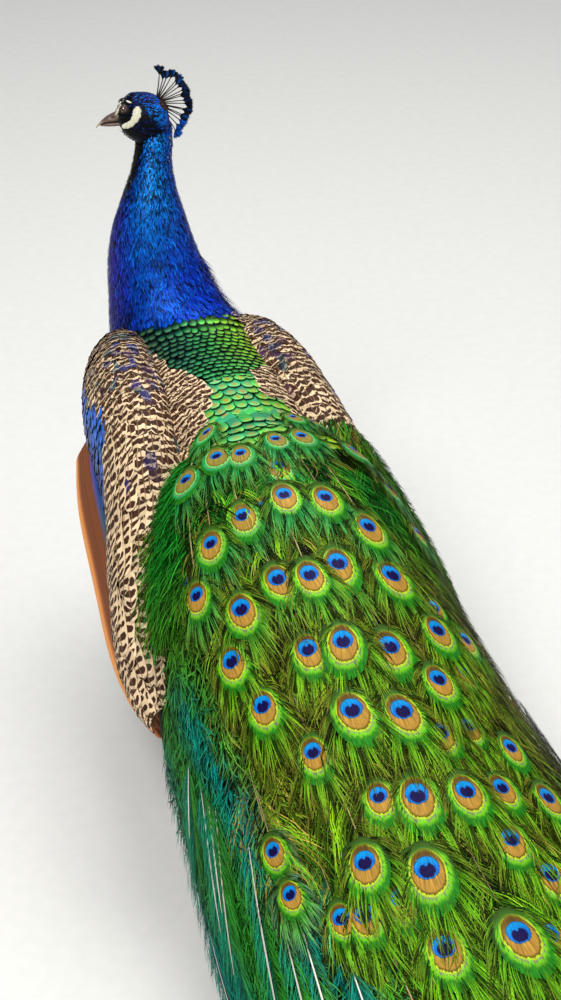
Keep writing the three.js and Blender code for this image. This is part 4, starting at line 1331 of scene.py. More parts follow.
class PEACOCK_OT_head(bpy.types.Operator):
    """Clothes the head in tiny feathers round the bare white skin of the face"""

    bl_idname = "peacock.head"
    bl_label = "Head"

    def execute(self, context):
        c, rng = palette(), draw(40)
        coat = Sheaf()
        for pitch, long, wide, lift in (((1.9, 2.0), 4.4, 2.5, 0.5), ((2.2, 2.0), 4.2, 1.2, 1.0)):
            s, a = ranks(rng, head_point, (0.05, 8.95), (-np.pi, np.pi), pitch, 0.8)
            keep = ~on_white(s, a)
            s, a = s[keep], a[keep]
            small = 1 - 0.45 * smooth(s, 4.0, 7.0)
            points, vane = strip(head_point, s, a, long * small * rng.uniform(0.8, 1.2, len(s)), wide * small,
                                 (0.5, 1.0, 0.85, 0.15), rng.normal(0, 0.15, len(s)),
                                 rng.normal(0, 0.15, len(s)), -1,
                                 (-0.6, lift * rng.uniform(0.5, 1.1, len(s))), 0.15, 0.1, cols=3)
            tint = head_tint(c, s, a)
            chance = rng.random(len(s))[:, None]
            bright = tint.max(1, keepdims=True) > 0.1
            tint = np.where((chance < 0.34 + 0.24 * smooth(s, 2.0, 4.0)[:, None]) & bright, c["black"], tint)
            tint = np.where((chance > 0.8) & bright, tint * 0.6 + screen(0, 140, 225) * 0.5, tint)
            spark = (chance > 0.9) & ~bright & (s < 6.5)[:, None]
            tint = np.where(spark, screen(10, 40, 130), tint)
            coat.add(points, varied(rng, tint, 0.3, 0.12), vane,
                     patch_map(s, a, (0, 9), (-np.pi, np.pi), (0.01, 0.01), (0.98, 0.98)))
        count = 260
        s, a = rng.uniform(11.6, 13.8, count), np.pi + rng.uniform(-1.0, 1.0, count)
        points, vane = strip(body_point, s, a, rng.uniform(8, 16, count), rng.uniform(1.0, 2.0, count),
                             HAIR_TIP, rng.normal(0, 0.3, count), 0.0, -1,
                             (-0.5, rng.uniform(1.5, 4.5, count)), 0.3, 0.0)
        coat.add(points, varied(rng, np.tile(c["black"], (count, 1)), 0.4, 0.1), vane, body_map(s, a))
        blue = plume_material("head_blue", 0.7, 0.35, metallic=0.3, roughness=0.36, root=0.3)
        coat.piece("head_feathers", "blue_plumage", blue)
        self.bare_skin(c)
        self.eyes(c)
        self.bill(c)
        return {"FINISHED"}

    def bare_skin(self, c):
        """White bands of the face, both sides, in softly wrinkled skin."""
        face = Sheaf()
        for side in (1, -1):
            for k, (rows, puff) in enumerate(((CRESCENT, 0.9), (STRIPE, 0.75), (BROW, 0.7))):
                points, x, z = face_band(rows, side, puff)
                vane = np.stack([x, z, 0 * x], -1)[None]
                root = np.array([[0.02 + 0.32 * k, 0.02 if side > 0 else 0.52]])
                face.add(points, c["ivory"][None], vane, root, (0.28, 0.45))
        wrinkle = place_of(new_material("bare_face")).stretched(1.0, 1.0, 2.5).noise(900.0, 3.0)
        colour = mixed(wrinkle.rises(0.35, 0.7), screen(196, 190, 160), screen(238, 236, 212))
        face.piece("bare_face", "bill_horn", finish(colour, wrinkle, 0.5, 0.0004, roughness=0.6))

    def eyes(self, c):
        """Dark brown eyes, each a ball with its iris and pupil by polar angle, and lids round them."""
        vane, polar, _, _ = vane_of(new_material("eye_ball"))
        iris = mixed(vane.stretched(0.05, 6.0, 1.0).noise(1.0), screen(60, 32, 18), screen(112, 66, 38))
        colour = mixed(polar.rises(0.33, 0.37), screen(3, 3, 4), iris)
        colour = mixed(polar.rises(0.62, 0.7), colour, screen(26, 16, 12))
        ball_material = finish(colour, roughness=0.06, coat=1.0, coat_roughness=0.02, specular=0.6)
        fold = place_of(new_material("eye_lid")).noise(1400.0, 3.0)
        colour = mixed(fold, screen(16, 12, 12), screen(76, 56, 46))
        lid_material = finish(colour, fold, 0.6, 0.0004, roughness=0.55)
        balls, lids = [Sheaf(), Sheaf()], Sheaf()
        for k, side in enumerate((1, -1)):
            middle = from_head(0.0, side * EYE_OUT, EYE_UP)
            axis = side * HEAD_LEFT * 0.96 + HEAD_FORWARD * 0.25 + HEAD_UP * 0.05
            axis = axis / np.linalg.norm(axis)
            ahead = HEAD_FORWARD - axis * (HEAD_FORWARD @ axis)
            ahead /= np.linalg.norm(ahead)
            over = np.cross(axis, ahead) * side

            def dome(polar, round_, radius, wide=1.0, flip=side > 0):
                """Points at polar angles from the eye's axis, stretched forward by wide."""
                flat = np.sin(polar)[..., None]
                ring = np.cos(round_)[..., None] * ahead * wide + np.sin(round_)[..., None] * over
                points = middle + radius[..., None] * (np.cos(polar)[..., None] * axis + flat * ring)
                return points if flip else points[:, ::-1]

            round_, polar = np.meshgrid(np.linspace(0, TURN, 33), np.linspace(0.0, np.pi, 25))
            bulge = 5.0 + 0.3 * np.exp(-((polar / 0.5) ** 2))
            vane = np.stack([polar, round_, 0 * polar], -1)
            balls[k].add(dome(polar, round_, bulge)[None], c["black"][None], vane[None],
                         np.array([[0.02, 0.02]]), 0.96)
            share = np.linspace(0, 1, 9)[:, None]
            round_ = np.linspace(0, TURN, 41)[None]
            opening = 0.80 - 0.12 * np.sin(round_) ** 2
            polar = opening + share * (1.65 - opening)
            radius = 5.1 + 0.6 * np.sin(np.pi * np.minimum(1, 0.25 + share)) ** 0.7 + 0.3 * share + 0 * round_
            points = dome(polar, round_ + 0 * share, radius, 1.06)
            vane = np.stack([polar, round_ + 0 * share, 0 * polar], -1)
            lids.add(points[None], c["black"][None], vane[None], np.array([[0.02 + 0.5 * k, 0.02]]), 0.46)
        balls[0].piece("eye_ball_left", "eye", ball_material, "eye_left")
        balls[1].piece("eye_ball_right", "eye", ball_material, "eye_right")
        lids.piece("eye_lids", "bill_horn", lid_material)

    def bill(self, c):
        """Both halves of the bill: the upper ridged, with nostrils and a hooked tip."""
        material = new_material("bill_horn_finish")
        streak = place_of(material).stretched(1.0, 0.4, 2.2).noise(420.0, 3.0)
        finish(tint_of(material).times(streak * 0.8 + 0.6), streak, 0.25, 0.0003, roughness=0.38)
        for name, node, rows, ridge in (("bill_top", "bill_upper", UPPER_BILL, 0.35),
                                        ("bill_below", "bill_lower", LOWER_BILL, 0.0)):
            t = np.linspace(0, len(rows) - 1, 44)[:, None]
            k = np.linspace(0, TURN, 41)[None]
            along, top, bottom, width = (v[..., 0] for v in columns(rows, t))
            along, top, bottom, width = (v[:, None] for v in (along, top, bottom, width))
            side, rise = np.sin(k), np.cos(k)
            wide = np.sign(side) * np.abs(side) ** (1 - 0.25 * (rise < 0)) * width
            bow = np.sign(rise) * np.abs(rise) ** (1 + ridge * (rise > 0))
            high = (top + bottom) / 2 + bow * (top - bottom) / 2
            pit = np.exp(-(((along - 16.5) / 2.6) ** 2) - ((high + 5.2) / 1.1) ** 2) * (ridge > 0)
            wide = wide * (1 - 0.3 * pit)
            points = closed(from_head(along + 0 * k, wide, high))
            colour = laid(c["horn"], 0.7 * np.clip(rise, 0, 1), screen(58, 46, 40))
            colour = laid(colour, 0.6 * smooth(along, 26, 38) + 0 * k, screen(206, 186, 160))
            # painted shade: dark in the nostril pits and along the gap where the two halves meet
            gape_shade = 0.75 * np.exp(-(((high - (bottom if ridge else top)) / 0.8) ** 2))
            colour = colour * ((1 - 0.92 * np.clip(pit * 1.3, 0, 1)) * (1 - gape_shade))[..., None]
            colour = np.concatenate([colour[:1], colour, colour[-1:]])
            vane = np.stack([points[..., 0], points[..., 1], 0 * points[..., 0]], -1)
            half = Sheaf()
            half.add(points[None], colour[None], vane[None], np.array([[0.02, 0.02]]), 0.96)
            half.piece(name, "bill_horn", material, node)


class PEACOCK_OT_crest(bpy.types.Operator):
    """Sets the crest: thin shafts that end in small dark blades with a blue gleam"""

    bl_idname = "peacock.crest"
    bl_label = "Crest"

    def execute(self, context):
        rng = draw(50)
        count = bpy.context.scene.peacock_sizes.plumes
        crest = Sheaf()
        lean = np.linspace(-1, 1, count)
        spread = 66 * DEG * lean + rng.normal(0, 0.03, count)
        long = 41.5 + 3.5 * lean**2 - 1.5 * lean + rng.normal(0, 1.6, count)
        layer = rng.uniform(-3.2, 3.2, count)
        root = np.stack([-38.5 - 1.0 * (1 - np.abs(lean)), -2.0 + 2.5 * lean], 1)

        def fan(reach, aside, out):
            """Points reach mm out along each plume, aside in the fan's plane and out of it."""
            way = spread[:, None, None] + 0.06 * (reach / 40) ** 2 * lean[:, None, None]
            along = root[:, 0, None, None] - np.cos(way) * reach + np.sin(way) * aside
            up = root[:, 1, None, None] + np.sin(way) * reach + np.cos(way) * aside
            return from_head(along, out, up)

        v = np.linspace(0, 1, 8)[None, :, None]
        u = np.array([-1.0, 0, 1.0])[None, None]
        tip = 13.0
        reach = v * (long[:, None, None] - tip + 3)
        sway = layer[:, None, None] * v**1.5
        shaft = fan(reach + 0 * u, u * (0.85 - 0.3 * v), sway + 0.4 * (1 - u**2))
        vane = np.stack(np.broadcast_arrays(u, reach, v), -1)
        spot = np.stack([0.02 + 0.94 * np.arange(count) / count, np.full(count, 0.02)], 1)
        crest.add(shaft, np.tile(screen(52, 40, 34), (count, 1)), vane, spot, (0.02, 0.3))

        barbs = 15
        v = np.linspace(0, 1, 5)[None, :, None]
        for k in range(barbs):
            turn = (k / (barbs - 1) * 2 - 1)
            grow = tip * (1 - 0.35 * abs(turn)) * rng.uniform(0.9, 1.08, count)[:, None, None]
            start = (long - tip * (0.95 - 0.2 * abs(turn)))[:, None, None]
            reach = start + v * grow
            blade = np.array([0.6, 1, 1, 0.8, 0.15])[None, :, None]
            aside = turn * (0.6 + 5.4 * np.sin(0.5 * np.pi * v) ** 1.1) + u * 0.9 * blade
            out = layer[:, None, None] + 0.7 * np.sin(3 * turn + v) + 0.3 * (1 - u**2)
            points = fan(reach + 0 * u, aside, out)
            middle = np.exp(-((turn / 0.24) ** 2))
            outer = np.clip(0.25 + 0.75 * np.abs(lean), 0, 1)[:, None, None, None]
            gleam = screen(0, 96, 205) * middle * outer + screen(3, 6, 20) * (1 - middle)
            glow = smooth(v, 0.15, 0.5) * (1 - 0.8 * smooth(v, 0.8, 1.0))
            low = np.where(np.arange(count) < 3, 1.0, 0.0)[:, None, None, None]
            tint = screen(8, 9, 16) * (1 - glow[..., None]) + gleam * glow[..., None]
            tint = tint * (1 - low) + screen(0, 84, 190) * low * (0.4 + 0.6 * glow[..., None])
            tint = np.broadcast_to(tint, points.shape) * rng.choice([0.25, 0.7, 1.3], (count, 1, 1, 1))
            vane = np.stack(np.broadcast_arrays(u, v * tip, v), -1)
            crest.add(points, tint, vane, spot + (0.0, 0.35 + 0.04 * k), (0.02, 0.035))

        tuft = 240
        turn = rng.uniform(-1, 1, tuft)
        s, a = 0.35 + 1.5 * rng.random(tuft), 0.9 * turn
        points, vane = strip(head_point, s, a, rng.uniform(5, 11, tuft), 0.9, HAIR_TIP,
                             rng.normal(0, 0.3, tuft), 0.0, -1, (0.0, rng.uniform(0.8, 3.2, tuft)), 0.3)
        crest.add(points, varied(rng, np.tile(screen(70, 52, 44), (tuft, 1)), 0.5, 0.2), vane,
                  np.stack([0.02 + 0.9 * rng.random(tuft), np.full(tuft, 0.97)], 1))
        dark = plume_material("crest_finish", 1.0, 0.2, metallic=0.35, roughness=0.36)
        crest.piece("crest_plumes", "crest_plumage", dark, "crest")
        return {"FINISHED"}


# ------------------------------------------------------------------ legs
class PEACOCK_OT_legs(bpy.types.Operator):
    """Finishes the legs, toes, spurs and claws in scaly skin and horn"""

    bl_idname = "peacock.legs"
    bl_label = "Legs"

    def execute(self, context):
        c = palette()
        place = place_of(new_material("scaly_leg"))
        cells = {"Vector": place.stretched(1.0, 1.0, 0.62), "Scale": 260.0}
        plate = Tone(place.material, "TexVoronoi", cells, "Distance", feature="DISTANCE_TO_EDGE")
        plate = plate.rises(0.02, 0.22)
        colour = mixed(place.noise(60.0, 3.0), c["scute"] * 0.7, c["scute"] * 1.2)
        scaly = finish(mixed(plate, screen(58, 50, 42), colour), plate, 0.6, 0.0008, roughness=0.5)
        streak = place_of(new_material("claw_horn_finish")).stretched(1.0, 0.3, 1.0).noise(500.0, 3.0)
        horn = finish(mixed(streak, screen(34, 28, 24), screen(96, 82, 68)), streak, 0.3, 0.0004,
                      roughness=0.35)
        for name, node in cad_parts.items():
            coat = {"shank": scaly, "toe": scaly, "spur": horn, "claw": horn}.get(name.split("_")[0])
            if coat:
                node.data.materials.clear()
                node.data.materials.append(coat)
        return {"FINISHED"}


# ------------------------------------------------------------------ train
# Eyes of the upper train: [y, arc from the crown line, positive to the bird's left, size share, height].
UPPER_EYES = np.array([
    [112, 54, 0.75, 0.0], [118, -42, 0.7, 0.0], [116, -70, 0.65, 0.0], [162, 64, 1.1, 0.0],
    [159, -39, 1, 0.0], [162, -6, 0.95, 0.0], [171, 102, 1.1, 0.0], [173, 35, 1, 0.0],
    [161, -114, 1.1, 0.0], [204, 4, 1.1, -3.0], [251, 13, 1.05, 0.0], [208, -142, 0.9, -3.0],
    [256, 65, 1.1, -3.4], [255, 40, 0.9, -4.4], [263, -29, 1.05, 0.0], [270, 104, 1, 0.0],
    [285, 148, 0.7, -4.0], [269, -153, 0.7, -3.0], [310, 141, 0.95, 0.0], [303, -63, 1.1, 0.0],
    [349, 59, 1, -1.0], [351, -15, 1.1, -1.5], [358, 23, 1, 0.0], [359, 104, 1.05, 0.0],
    [368, -62, 1.1, 0.0], [400, 136, 1, 0.0], [393, -112, 0.75, -4.0], [434, 57, 1, -3.4],
    [442, 15, 1.1, 0.0], [432, -90, 1, 0.0], [423, -139, 0.8, -4.0], [456, -24, 1.1, -1.5],
    [464, 124, 1, 0.0], [477, -102, 0.75, -4.0], [497, -59, 0.95, 0.0], [515, 45, 1.1, 0.0],
    [530, -2, 1.1, 0.0], [535, 94, 0.9, -3.2], [555, -39, 0.95, -3.0], [547, -72, 0.8, -4.0],
    [566, -113, 0.8, -4.2], [595, 175, 0.8, -3.2], [607, 51, 0.85, -2.6], [619, 15, 1.1, -1.8],
    [621, -70, 0.85, -3.4], [625, -31, 1, -1.0], [624, -126, 0.9, -3.0], [647, 176, 0.75, 0.0],
    [665, 89, 1, 0.0], [681, -55, 0.95, -2.4], [686, -50, 0.9, -4.0], [697, 38, 1.15, 0.0],
    [699, 138, 0.8, -3.4], [710, 115, 0.9, -3.2], [712, 74, 0.9, -3.4], [722, -75, 1, -2.6],
    [775, 60, 1.05, -2.6], [786, -7, 1.1, 0.0], [788, -42, 0.95, -3.2],
], float)
EYE_LEVEL = 5.6  # height of an eye over the train's surface
# An eye's vane: how far it reaches ahead of its centre, behind it and aside, in half widths of its oval.
EYE_ABOVE, EYE_BELOW, EYE_WIDE = 1.9, 3.3, 1.62
# Flank feathers with pale shafts: [start y, start angle, end y, end angle], angles in degrees.
FLANK_SHAFTS = np.array([
    [432, 66, 508, 74], [468, 63, 626, 70], [486, 61, 610, 67], [502, 59, 682, 70], [568, 51, 770, 60],
    [670, 49, 876, 55], [678, 44, 880, 48], [752, 36, 916, 38], [575, 78, 851, 80], [790, 74, 1042, 78],
    [868, 64, 1105, 67], [956, 78, 1200, 80],
], float)


def angles_at(y, arc):
    """The angles at which arcs of the given lengths, measured from the crown line, end on the train."""
    crown, edge, width, _ = train_shape(np.asarray(y, float))
    a = np.linspace(0, np.pi / 2, 60)
    speed = np.hypot(width[:, None] * np.cos(a), (crown - edge)[:, None] * np.sin(a))
    reach = np.cumsum(np.pad((speed[:, 1:] + speed[:, :-1]) / 2 * (a[1] - a[0]), ((0, 0), (1, 0))), 1)
    found = [np.interp(abs(want), row, a) for want, row in zip(arc, reach)]
    return np.sign(arc) * np.array(found)


def arc_to_edge(y):
    """The length from the crown line to the edge of the train at each y."""
    crown, edge, width, _ = train_shape(np.asarray(y, float))
    a = np.linspace(0, np.pi / 2, 60)
    return np.hypot(width[:, None] * np.cos(a), (crown - edge)[:, None] * np.sin(a)).mean(1) * np.pi / 2


def eye_roots(rng):
    """Where the train's eyes are, as the columns of UPPER_EYES: those as placed, and others behind them
    in a loose lattice that thins out on the lower flanks."""
    rows = []
    for k, y in enumerate(np.arange(190, 1390, 56)):
        spread = 66 + 0.006 * y
        arcs = (np.arange(-7, 8) + (k % 2) / 2) * spread
        rows.append(np.stack([y + rng.uniform(-16, 16, 15), arcs + rng.uniform(-13, 13, 15)], 1))
    loose = np.concatenate(rows)
    edge = arc_to_edge(loose[:, 0])
    side = np.abs(loose[:, 1]) / edge
    keep = side < np.where(loose[:, 1] > 0, 0.78, 0.93) - 0.1 * smooth(loose[:, 0], 1000, 1400)
    keep &= ~((loose[:, 1] > 0) & (side > 0.55) & (loose[:, 0] > 380) & (rng.random(len(loose)) < 0.6))
    loose = loose[keep]
    gap = length_of((loose[:, None] - UPPER_EYES[:, :2]) * (0.85, 1.0)).min(1)
    inside = (loose[:, 0] < 770) | ((side[keep] > 0.8) & (loose[:, 0] < 900))
    loose = loose[(gap > 56) & ~inside & ~((loose[:, 1] > 0) & (loose[:, 0] < 860))]
    sunk = np.where(rng.random(len(loose)) < 0.3, -3.2, 0.0)
    return np.concatenate([UPPER_EYES, np.stack([*loose.T, rng.uniform(0.9, 1.1, len(loose)), sunk], 1)])


def train_tint(c, rng, y, a):
    """Colours of the train's barbs by place: vivid green by the rump, olive and bronze in the middle,
    lime lower down, brown gold on the right edge and teal bands on the left flank."""
    deg = a / DEG
    patchy = 0.5 + 0.5 * np.sin(y / 31 + 3 * np.sin(deg / 9)) * np.sin(deg / 6 + y / 90)
    high = smooth(y, 210, 380)
    low = smooth(y + 1.1 * deg, 560, 800)
    tint = blends(high, c["green"], c["olive"])
    tint = tint + low[..., None] * (c["grass"] - tint)
    brown = (0.4 + 0.6 * patchy) * smooth(y, 230, 400) * (1 - 0.45 * low) * (0.3 + 0.7 * rng.random(y.shape))
    tint = tint + brown[..., None] * (c["bronze"] - tint)
    lush = 0.75 * smooth(deg, 34, 58) * smooth(y, 260, 380)
    tint = tint + lush[..., None] * (screen(14, 132, 44) - tint)
    edge = 0.85 * smooth(-deg, 34, 60)
    tint = tint + edge[..., None] * (c["bronze"] * 0.55 + c["lime"] * 0.06 - tint)
    inner = np.exp(-(((deg - (56.5 - 0.06 * (y - 460))) / 4.4) ** 2)) * smooth(y, 300, 400)
    outer = np.exp(-(((deg - (86 - 0.07 * (y - 500))) / 6.5) ** 2)) * smooth(y, 330, 430)
    flank = np.clip(inner + outer, 0, 1) * (1 - smooth(y, 800, 1000))
    flank = np.maximum(flank, 0.6 * smooth(deg, 72, 82))
    flank = np.maximum(flank, 0.45 * smooth(-deg, 70, 84))
    return tint + flank[..., None] * (c["teal"] - tint)


def eye_material(name, c):
    """A train eye: a dark heart in a bright blue disc, a bronze oval, and rings of yellow and green.
    Its vane is measured in half widths of the bronze oval, from the middle of the blue disc, with the
    disc's half width last, which is smallest on the eyes by the rump."""
    material = new_material(name)
    _, x, y, share = vane_of(material)
    ray = x.math("ARCTAN2", y + 2.6)
    barbs = Tone(material, "CombineXYZ", {0: ray * 34.0, 1: y * 0.7, 2: share * 900.0}).noise(1.0)
    fray = barbs * 0.26 - 0.13

    def ring(wide, middle, long):
        """Distance from an oval's middle in its own half widths, with its outline frayed."""
        u, v = x / wide, (y - middle) / long
        return (u * u + v * v).math("SQRT") + fray

    heart = ring(share * 0.68, share * 0.26, share * 0.72)
    notch = ring(share * 0.2, share * -0.52, share * 0.42)
    disc = ring(share, 0.0, share * 1.08)
    bronze = ring(1.0, 0.3, 1.54)
    ragged = fray * 2.0 + bronze
    rump, top = share.rises(0.68, 0.56), y.rises(-0.4, -1.4)
    warm = mixed(y.rises(-1.1, 0.4), screen(84, 62, 14), c["tan"])
    warm = mixed(rump, warm, screen(140, 124, 52))
    lime = mixed(top, mixed(rump, screen(172, 196, 36), screen(110, 206, 96)), screen(92, 112, 18))
    lilac = mixed(y.rises(0.6, 1.5), screen(36, 104, 30), screen(126, 132, 98))
    outer = mixed(top, mixed(rump, screen(108, 184, 24), screen(34, 164, 92)), screen(56, 84, 14))
    fringe = mixed(y.rises(-0.2, 1.4), screen(30, 62, 10), screen(30, 112, 16))
    colour = c["disc"]
    for cover, shade in (
            (disc.rises(0.5, 0.95), screen(0, 112, 196)), (y.rises(0.25, -0.5) * 0.8, screen(0, 140, 200)),
            (disc.rises(0.9, 0.99), screen(0, 50, 76)),
            (heart.rises(1.04, 0.86) * notch.rises(0.8, 1.05), c["heart"]),
            (disc.rises(0.96, 1.05), warm), (bronze.rises(0.84, 0.96), screen(104, 84, 20)),
            (bronze.rises(0.98, 1.02), lime), (bronze.rises(1.08, 1.13), lilac),
            (ragged.rises(1.13, 1.24), outer), (ragged.rises(1.26, 1.5), fringe)):
        colour = mixed(cover, colour, shade)
    outside = bronze.rises(1.1, 1.5) * 0.9
    colour = mixed(0.85, colour, colour.times(barbs * (outside + 1.8) - outside * 0.5))
    return finish(colour, barbs, 0.5, 0.0008, metallic=0.1, roughness=0.45, specular=0.1)


def barb_material(name):
    """Loose barbs: darker at the root as painted shade, brighter towards the tip as a painted glint, with
    painted beads of light along them.
    """
    material = new_material(name)
    bead, share = place_of(material).noise(520.0), vane_of(material)[3]
    # painted shade by the root, a painted glint towards the tip and painted beads of light along the barbs
    tone = (share.rises(0.0, 0.5) * 0.6 + 0.4) * (bead * 1.3 + 0.4)
    return finish(tint_of(material).times(tone), bead, 0.2, 0.0003, metallic=0.1, roughness=0.5,
                  specular=0.04)


FLANK_DEGREE = 3.3  # length in mm of one degree round the train, beside the wing
BARB_TRIANGLES, PIECE_TRIANGLES = 8, 190000  # triangles in a barb, and at most in a piece of barbs
SHORT_BARB, LONG_BARB = (0.8, 1.0, 0.8, 0.15), (0.7, 1.0, 0.9, 0.7, 0.12)


def wing_end(y):
    """The angle on the train's left, in degrees, at which the wing's last feathers lie over it."""
    return np.interp(y, (240, 320, 345, 380), (62, 62, 74, 90))


def train_map(y, a):
    """A root's place on the unwrap of the train."""
    return patch_map(y, a, (80, 1450), (-np.pi / 2, np.pi / 2), (0.01, 0.01), (0.98, 0.98))


def shingle(ahead):
    """Height of a train feather over the train's surface, by how far ahead of its eye: highest at the
    eye, sinking under the eyes before it."""
    return 4.0 - 0.065 * ahead


class PEACOCK_OT_train(bpy.types.Operator):
    """Lays the train: its dark bed, the eyes, the shafts and many thousands of loose barbs"""

    bl_idname = "peacock.train"
    bl_label = "Train"

    def execute(self, context):
        c, rng = palette(), draw(5)
        self.bed()
        eyes = eye_roots(rng)
        y, a = eyes[:, 0], angles_at(eyes[:, 0], eyes[:, 1])
        small, large = size("eye_small"), size("eye_large")
        grown = np.interp(y, (165, 250, 360, 500, 800, 1150), (0, 0.28, 0.44, 0.5, 0.68, 1))
        half = (small + (large - small) * grown) * 0.93 * eyes[:, 2]
        half *= 1 - 0.2 * smooth(np.abs(a) / DEG, 55, 80)
        sunk = eyes[:, 3]
        self.eyes(c, rng, y, a, half, sunk)
        self.rims(c, rng, y, a, half, sunk)
        self.barbs(c, rng, y, a, half, sunk, eyes[:, 1])
        self.flanks(c, rng)
        return {"FINISHED"}

    def bed(self):
        """The train's closed bed, near black as painted shade deep among the barbs: its top a little under
        the barbs, its underside the frame's own.
        """
        y = np.linspace(102, 1424, 120)
        a = np.linspace(-88, 88, 61) * DEG
        top = train_point(*np.meshgrid(y, a, indexing="ij"), -8.0)
        under = train_under(*np.meshgrid(y, a[::-1], indexing="ij"), 0.4)
        under[..., 2] = np.minimum(under[..., 2], top[:, ::-1, 2] - 1.0)
        ring = closed(np.concatenate([top, under], 1))
        ring = np.concatenate([ring, ring[:, :1]], 1)
        bed = Sheaf()
        n, m = ring.shape[:2]
        u, v = np.meshgrid(np.linspace(0, 1, m), np.linspace(0, 1, n))
        vane = np.stack([u, v, 0 * u], -1)[None]
        # painted shade: the bed is near black, standing for the shade deep among the barbs, with a grain of
        # strands
        bed.add(ring[None, :, ::-1], np.array([[0.010, 0.014, 0.004]]), vane, np.array([[0.01, 0.01]]), 0.98)
        strand = place_of(new_material("train_bed")).stretched(1.0, 0.06, 1.0).noise(420.0, 3.0)
        dark = mixed(strand.rises(0.4, 0.7), screen(10, 22, 6), screen(48, 70, 18))
        material = finish(dark, strand, 0.6, 0.002, roughness=0.7, specular=0.05)
        bed.piece("train_bed", "train_plumage", material, "train_base", "train_middle", "train_end")

    def eyes(self, c, rng, y, a, half, sunk):
        """The eyes' own vanes, in two pieces that each span the train."""
        t = np.linspace(0, 1, 13)
        centre = EYE_ABOVE / (EYE_ABOVE + EYE_BELOW)
        outline = np.sqrt(np.clip(1 - ((t - centre - 0.08) / 0.56) ** 2, 0, 1)) * 0.98 + 0.02
        outline[0] = outline[-1] = 0.12
        long = half * (EYE_ABOVE + EYE_BELOW)
        level = EYE_LEVEL + sunk + rng.uniform(-0.4, 0.6, len(y))
        points, vane = strip(train_point, y - EYE_ABOVE * half, a, long, 2 * EYE_WIDE * half, outline,
                             rng.normal(0, 0.09, len(y)), 0.0, 1, (level - 1.0, level - 0.4), 1.2, 1.0,
                             cols=11, ts=t)
        unit = half[:, None, None]
        share = np.interp(y, (160, 270, 360), (0.56, 0.66, 0.74)) + rng.uniform(-0.02, 0.02, len(y))
        share = np.broadcast_to(share[:, None, None], vane.shape[:3])
        vane = np.stack([vane[..., 0] / unit, vane[..., 1] / unit - EYE_ABOVE, share], -1)
        tint = train_tint(c, rng, y, a) * 0.8
        material = eye_material("train_eye", c)
        for part, name in ((0, "train_eyes_a"), (1, "train_eyes_b")):
            pick = np.arange(len(y)) % 2 == part
            corners, width = cell_map(int(pick.sum()))
            sheaf = Sheaf()
            sheaf.add(points[pick], tint[pick], vane[pick], corners, width)
            sheaf.piece(name, "train_plumage", material)

    def rims(self, c, rng, y, a, half, sunk):
        """Barbs that stand out round each eye, short at its top and long behind it."""
        each = 160
        turn = np.tile(np.linspace(-1, 1, each), len(y)) + rng.uniform(-0.03, 0.03, each * len(y))
        y, a, half, sunk = (np.repeat(v, each) for v in (y, a, half, sunk))
        way = turn * np.pi * 0.86
        x0 = 1.32 * half * np.sin(way) * rng.uniform(0.92, 1.15, len(y))
        y0 = half * (0.3 + 2.0 * np.cos(way) * rng.uniform(0.92, 1.15, len(y)))
        per_turn = length_of(train_point(y, a + 0.01) - train_point(y, a)) / 0.01
        root_a = a + x0 / per_turn
        root_y = y + y0
        long = half * rng.uniform(0.8, 1.5, len(y)) * (0.9 + 2.3 * np.cos(way / 2) ** 2)
        long = np.minimum(long, np.maximum(TRAIN_TIP - root_y, 4))
        heading = np.arctan2(x0, y0 + 1.9 * half) * 1.2
        level = EYE_LEVEL + sunk + rng.uniform(-0.9, 0.4, len(y))
        points, vane = strip(train_point, root_y, root_a, long, rng.uniform(0.7, 1.3, len(y)),
                             (0.7, 1.0, 0.9, 0.7, 0.15), heading + rng.normal(0, 0.08, len(y)),
                             -0.7 * heading + 0.25 * np.sin(5 * way + y) + rng.normal(0, 0.08, len(y)), 1,
                             (level, level - 1.2), 0.8, cols=2)
        tint = train_tint(c, rng, y, a)
        high = (1 - smooth(y, 240, 420))[:, None]
        fan = screen(104, 192, 24) * (1 - high) + screen(24, 150, 78) * high
        near = np.where(np.cos(way)[:, None] > 0.1, fan, screen(74, 112, 16))
        lock = 0.5 + 0.5 * np.sin(9 * way + 2.3 * y) + rng.normal(0, 0.2, len(y))
        dull = (0.12 + 0.95 * smooth(lock, 0.1, 0.6))[:, None]
        away = varied(rng, tint * 0.5 + c["bronze"] * 0.5, 0.5, 0.15) * dull
        near = varied(rng, tint * 0.25 + near * 0.75, 0.5, 0.15) * dull
        share = np.linspace(0, 1, 5)[None, :, None, None]
        tint = near[:, None, None] * (1 - share) + away[:, None, None] * share
        rim = Sheaf()
        rim.add(points, tint, vane, train_map(root_y, root_a))
        rim.piece("train_eye_barbs", "train_plumage", barb_material("eye_barbs"))

    def barbs(self, c, rng, y, a, half, sunk, eyes_arc):
        """The shafts ahead of the eyes and the barbs that leave them on both sides."""
        reach = np.minimum(215.0, np.maximum(8.0, 0.75 * (y - 168)))
        shafts = Sheaf()
        points, vane = strip(train_point, y - EYE_ABOVE * half * 0.8 - reach, a, reach, 2.2,
                             (1.0, 0.8, 0.7, 0.6, 0.5, 0.4, 0.35), 0.0, 0.0, 1,
                             (shingle(reach) + sunk + 0.6, shingle(20) + sunk + 0.5), 0.0, 0.0)
        tint = c["shaft"] * rng.uniform(0.35, 0.9, (len(y), 1))
        shafts.add(points, tint, vane, train_map(y, a))
        horn = plume_material("shaft_horn", 3.0, 0.15, metallic=0.0, roughness=0.4)
        shafts.piece("train_shafts", "train_plumage", horn)

